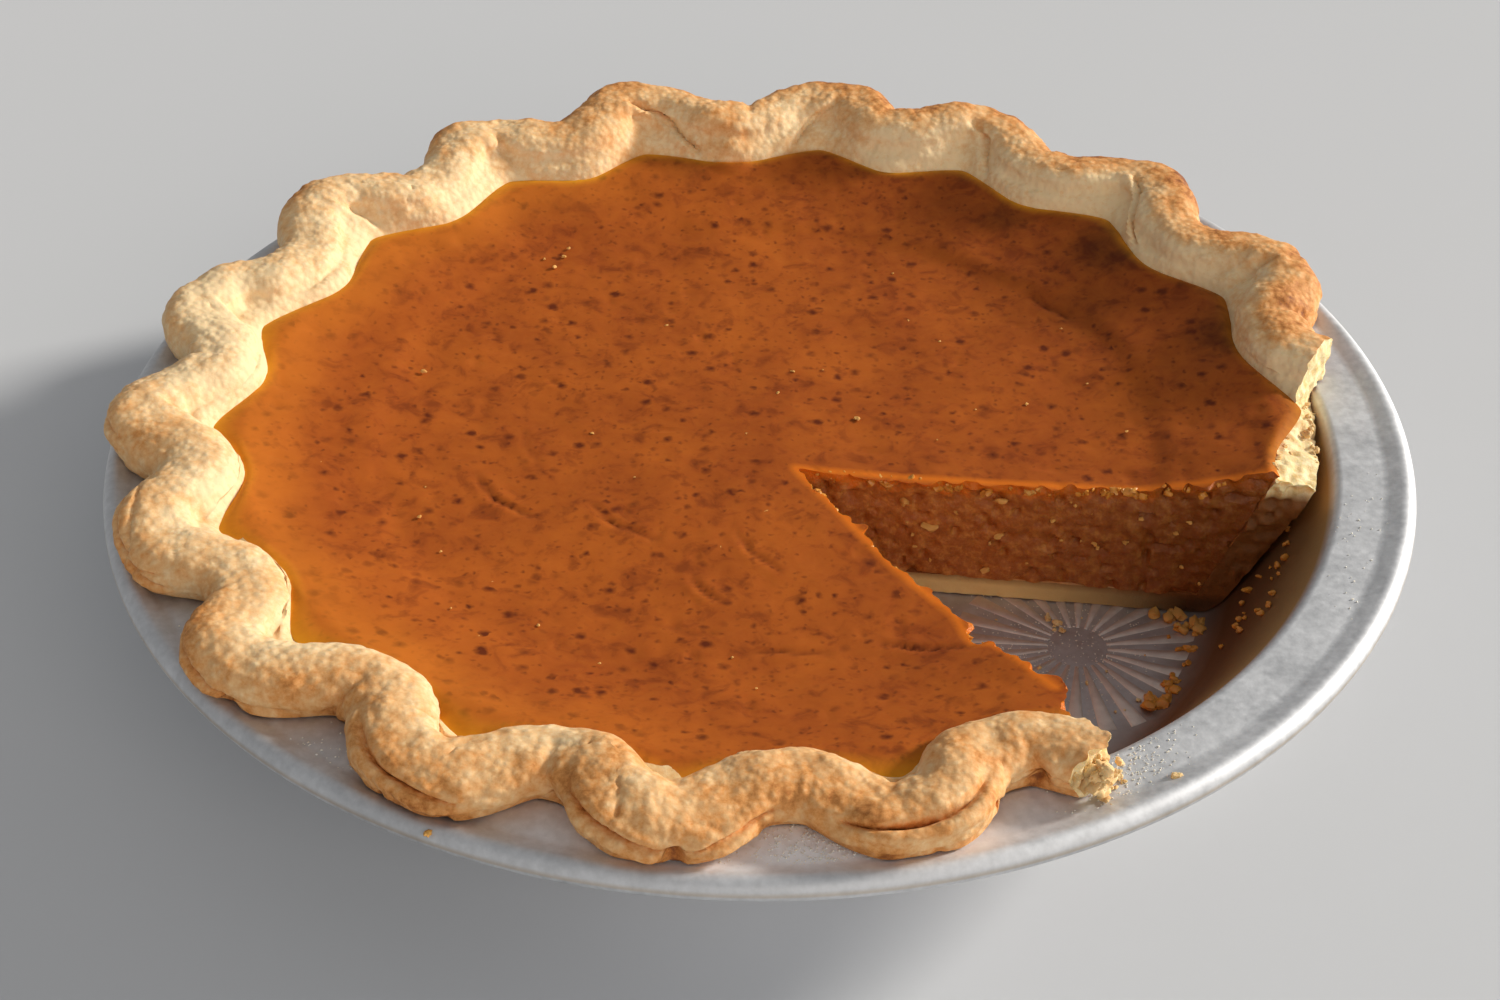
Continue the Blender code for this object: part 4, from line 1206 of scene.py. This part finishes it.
class PIE_OT_crumbs(bpy.types.Operator):
    """Scatters crumbs and flour on the tin and on the cut face"""
    bl_idname = "pie.crumbs"
    bl_label = "Crumbs and flour"

    def execute(self, context):
        settings = context.scene.pie_crumbs
        draw = random.Random(settings.seed)
        floor, rim = SHEET, RIM_TOP

        def at(x, y, z, size, flat=0.6):
            return x * MM, y * MM, z * MM, size * MM, flat

        def around(x, y, spread, z, count, low, high):
            return [(x * MM + draw.gauss(0, spread) * MM, y * MM + draw.gauss(0, spread) * MM, z,
                     draw.uniform(low, high) * MM, 0.6) for _ in range(count)]

        def beside_cut(x):
            return (tip[1] + (end[1] - tip[1]) * (x * MM - tip[0]) / (end[0] - tip[0]) - 0.1 * MM) / MM

        tip, end = np.array(SLICE_TIP), np.array(SLICE_RIGHT_END)
        pale = around(57.9, -24.7, 1.2, floor, 4, 0.8, 1.8) + around(58.9, -27, 1.0, floor, 3, 0.6, 1.4)
        pale += around(60, -40, 12, floor, 14, 0.3, 0.9)
        pale += around(57.5, -104.5, 2.2, rim, 14, 0.5, 1.7) + around(68.9, -103.7, 0.6, rim, 3, 0.8, 1.6)
        golden = around(83.0, -25.2, 1.3, floor, 7, 1.6, 3.2) + around(86.0, -26.5, 1.2, floor, 5, 1.4, 2.6)
        golden += around(-52.7, -115.6, 0.9, rim, 4, 0.9, 1.6)
        # A patch of thin pastry that lies on the custard's edge at the front.
        pale.append(at(-18.4, -105.9, 36.5, 12.0, 0.09))
        # Flakes that hang on the broken end of the rope.
        pale.append(at(53.0, -106.3, 34.6, 5.6, 0.8))
        pale += [at(draw.uniform(50.5, 56.0), draw.uniform(-109, -102.5), draw.uniform(34.3, 38.6),
                    draw.uniform(2.2, 3.8), 0.8) for _ in range(22)]
        pale += [at(draw.uniform(54, 59), draw.uniform(-108, -101), draw.uniform(34.2, 38.0),
                    draw.uniform(0.7, 2.0), 0.7) for _ in range(7)]
        # Crumb on the slope where the wall broke off beside the cut.
        for _ in range(34):
            turn = math.radians(draw.uniform(-12, 6))
            inner = float(pastry_inside(np.array([turn]), RIM_TOP)[0])
            outer = LIP_CORNER - float(loose_gap(np.array([turn]), RIM_TOP)[0])
            reach = draw.uniform(inner + 1 * MM, outer - 0.5 * MM)
            height = BREAK_HIGH[1] + BREAK_SLOPE * (reach * math.cos(turn) - BREAK_HIGH[0])
            pale.append((reach * math.cos(turn), reach * math.sin(turn), height - 0.3 * MM,
                         draw.uniform(0.6, 1.7) * MM, 0.7))
        # Crumbs and dried bubbles on the custard; the small flakes scattered at random are also painted
        # glints.
        for x, y in ((-47.9, 63.8), (-43.5, 65.1), (-45.5, 60.8), (3.9, 14.5), (-33.8, 0.1), (-20, 40),
                     (30, 60), (-70, 20), (-60, -40), (20, 5), (-5, -70), (55, 10)):
            golden.append((x * MM, y * MM, filling_top(math.hypot(x, y) * MM) - 0.1 * MM,
                           draw.uniform(0.6, 1.1) * MM, 0.5))
        for _ in range(46):
            turn, reach = draw.uniform(0, TAU), 88 * MM * math.sqrt(draw.random())
            if not -62 < math.degrees(turn) - 360 < -4:
                golden.append((reach * math.cos(turn), reach * math.sin(turn), filling_top(reach) - 0.1 * MM,
                               draw.uniform(0.35, 0.8) * MM, 0.5))
        # Custard that stuck to the floor and the wall of the tin.
        wet = around(75.5, -50.0, 1.4, floor, 8, 1.4, 3.0) + around(80.5, -43.5, 1.5, floor, 7, 1.2, 2.6)
        wet += around(84.5, -34.0, 1.8, floor, 8, 0.9, 2.0) + around(87.0, -28.0, 1.2, floor, 4, 0.9, 1.8)
        for _ in range(24):
            turn, z = math.radians(draw.uniform(-26, -9)), draw.uniform(6, 22) * MM
            reach = wall_radius(z) - 0.3 * MM
            wet.append((reach * math.cos(turn), reach * math.sin(turn), z, draw.uniform(0.6, 1.7) * MM, 0.8))
        # Bits of skin that the knife tore and left along the top edges of the cut.
        edges = [(tip, end, 60)] + [(np.array(a), np.array(b), 9) for a, b in
                                    zip([SLICE_TIP] + SLICE_FRONT[:5], SLICE_FRONT[:6])]
        for first, last, count in edges:
            for _ in range(count):
                x, y = first + (last - first) * draw.uniform(0.02, 0.94)
                size = (0.7 + 1.9 * draw.random() ** 1.6) * MM
                drop = draw.uniform(0.8, 1.6) * size
                height = filling_top(math.hypot(x, y)) - drop
                wet.append((x, y + draw.uniform(-0.2, 0.3) * MM, height, size, 0.8))
        # Crumbs pressed on the right cut face by the knife: place along it, height and size.
        for x, z, size in ((28.8, 24, 2.6), (33.9, 18, 3.4), (24.1, 29.0, 2.0), (33.2, 28.6, 2.4),
                           (47.7, 26, 2.2), (53.2, 28.6, 2.6), (45.7, 8, 2.0), (47.9, 17, 1.6),
                           (66.5, 17, 1.3), (75.0, 24, 1.4), (72.6, 18, 1.3), (39.0, 22, 1.2),
                           (58.0, 22, 1.2), (62.0, 26, 1.0), (82.0, 21, 1.2)):
            golden.append(at(x, beside_cut(x), z - 0.3 * size, 0.95 * size))
        for _ in range(14):
            x = draw.uniform(20, 92)
            golden.append(at(x, beside_cut(x), draw.uniform(7, 28), draw.uniform(0.5, 1.1), 0.8))
        flakes("crumbs_pale", pale, 3,
               crumb_look("pale shortcrust crumb", settings.pale, settings.golden, 0.75))
        flakes("crumbs_golden", golden, 2,
               crumb_look("golden shortcrust crumb", settings.golden, linear("#E2AC60"), 0.6))
        flakes("crumbs_custard", wet, 2,
               crumb_look("custard crumb", settings.custard, linear("#DE9C42"), 0.32))

        dust = []
        for x, y, spread, count in ((9, -118.5, 5, 420), (5, -118, 9, 300), (-10, -121, 5, 220),
                                    (57, -104, 5, 260), (62, -98, 5, 160), (-100, -69, 3, 60),
                                    (-73, -99, 4, 80), (112, -42, 12, 160)):
            dust += around(x, y, spread, rim, count, 0.16, 0.42)
        dust += [spot for _ in range(settings.flour - len(dust))
                 for spot in around(58, -34, 14, floor, 1, 0.14, 0.40)]
        kept = []
        for x, y, z, size, flat in dust:
            radius = math.hypot(x, y)
            if (z == rim and 114.6 * MM < radius < 124 * MM) or (z == floor and radius < 86 * MM):
                kept.append((x, y, z, size, flat))
        flakes("flour_dust", kept, 1, crumb_look("flour", linear("#F4F0E6"), linear("#E8DFCB"), 0.8))
        return {"FINISHED"}


def matt_board(settings):
    """A matt painted board: pale grey, hardly mottled."""
    look, tree, shader, place = new_look("plain matt board")
    cloud = add(tree, "TexNoise", {"Vector": place, "Scale": 1 / (60 * MM), "Detail": 4.0})
    colour = add(tree, "Mix", {SHARE: cloud, UNDER: settings.floor, OVER: linear("#CDCFD1")},
                 data_type="RGBA")
    wire(tree, shader, {"Base Color": colour, "Roughness": 0.8})
    return look


class StageSettings(bpy.types.PropertyGroup):
    floor: colour_property("Floor", "Colour of the floor", "#CFD0D3")
    key_strength: FloatProperty(name="Key light", description="Strength of the light from the back right",
                                default=4.3)
    key_angle: FloatProperty(name="Key softness", description="How wide that light looks from the pie",
                             default=math.radians(10), subtype="ANGLE", unit="ROTATION")
    key_direction: FloatProperty(name="Key direction", description="Where it comes from, round from +X",
                                 default=math.radians(22), subtype="ANGLE", unit="ROTATION")
    key_height: FloatProperty(name="Key height", description="How high it stands over the floor",
                              default=math.radians(21), subtype="ANGLE", unit="ROTATION")
    fill_strength: FloatProperty(name="Fill light", description="Strength of the light from the front right",
                                 default=1.0)
    sky: FloatProperty(name="Room light", description="Strength of the light all round", default=0.37)
    lens: FloatProperty(name="Lens", description="Focal length of the camera in millimetres", default=55.2)


class PIE_OT_stage(bpy.types.Operator):
    """Makes the floor, the lights and the camera"""
    bl_idname = "pie.stage"
    bl_label = "Stage"

    def execute(self, context):
        scene = context.scene
        settings = scene.pie_stage
        scene.view_settings.view_transform = "Standard"
        edge = FLOOR_REACH
        floor = add_piece("floor", [(-edge, -edge, 0), (edge, -edge, 0), (edge, edge, 0), (-edge, edge, 0)],
                          [(0, 1, 2, 3)], [matt_board(settings)])

        camera = bpy.data.objects.new("camera", bpy.data.cameras.new("camera"))
        camera.data.lens = settings.lens
        camera.data.sensor_width = SENSOR_WIDTH
        camera.data.clip_start = 0.01
        camera.location = CAMERA_PLACE
        camera.rotation_euler = (CAMERA_TILT, 0, 0)
        scene.collection.objects.link(camera)
        scene.camera = camera

        lights = (("key", settings.key_strength, settings.key_angle, settings.key_direction,
                   settings.key_height, "#FFFAF2"),
                  ("fill", settings.fill_strength, FRONT_LIGHT_SIZE, FRONT_LIGHT_DIRECTION,
                   FRONT_LIGHT_HEIGHT, "#FFF6EC"))
        for name, strength, angle, round_by, up_by, tint in lights:
            light = bpy.data.lights.new(name, "SUN")
            light.energy = strength
            light.angle = angle
            light.color = linear(tint)
            lamp = bpy.data.objects.new(name, light)
            level = math.cos(up_by)
            way = Vector((level * math.cos(round_by), level * math.sin(round_by), math.sin(up_by)))
            lamp.location = way
            lamp.rotation_euler = (-way).to_track_quat("-Z", "Y").to_euler()
            scene.collection.objects.link(lamp)

        world = bpy.data.worlds.new("room")
        world.use_nodes = True
        back = world.node_tree.nodes["Background"]
        back.inputs["Color"].default_value = (*linear("#EEF0F2"), 1)
        back.inputs["Strength"].default_value = settings.sky
        scene.world = world
        return {"FINISHED"}


class PIE_PT_panel(bpy.types.Panel):
    """Lists the steps that dress the pie"""
    bl_idname = "PIE_PT_panel"
    bl_label = "Pumpkin pie"
    bl_space_type = "VIEW_3D"
    bl_region_type = "UI"
    bl_category = "Pie"

    def draw(self, context):
        for step in STEPS:
            self.layout.operator(step.bl_idname)
        for name in GROUPS:
            box = self.layout.box()
            settings = getattr(context.scene, name)
            for prop in settings.bl_rna.properties:
                if not prop.is_readonly and prop.identifier not in {"name"}:
                    box.prop(settings, prop.identifier)


GROUPS = {"pie_tin": TinSettings, "pie_crust": CrustSettings, "pie_filling": FillingSettings,
          "pie_crumbs": CrumbSettings, "pie_stage": StageSettings}
STEPS = (PIE_OT_tin, PIE_OT_sunbursts, PIE_OT_crust, PIE_OT_filling, PIE_OT_crumbs, PIE_OT_stage)


def register():
    for made in (*GROUPS.values(), *STEPS, PIE_PT_panel):
        bpy.utils.register_class(made)
    for name, group in GROUPS.items():
        setattr(bpy.types.Scene, name, PointerProperty(type=group))


def unregister():
    for name in GROUPS:
        delattr(bpy.types.Scene, name)
    for made in reversed((*GROUPS.values(), *STEPS, PIE_PT_panel)):
        bpy.utils.unregister_class(made)


def main():
    register()
    bpy.ops.pie.tin()
    bpy.ops.pie.sunbursts()
    bpy.ops.pie.crust()
    bpy.ops.pie.filling()
    bpy.ops.pie.crumbs()
    bpy.ops.pie.stage()


if __name__ == "__main__":
    main()
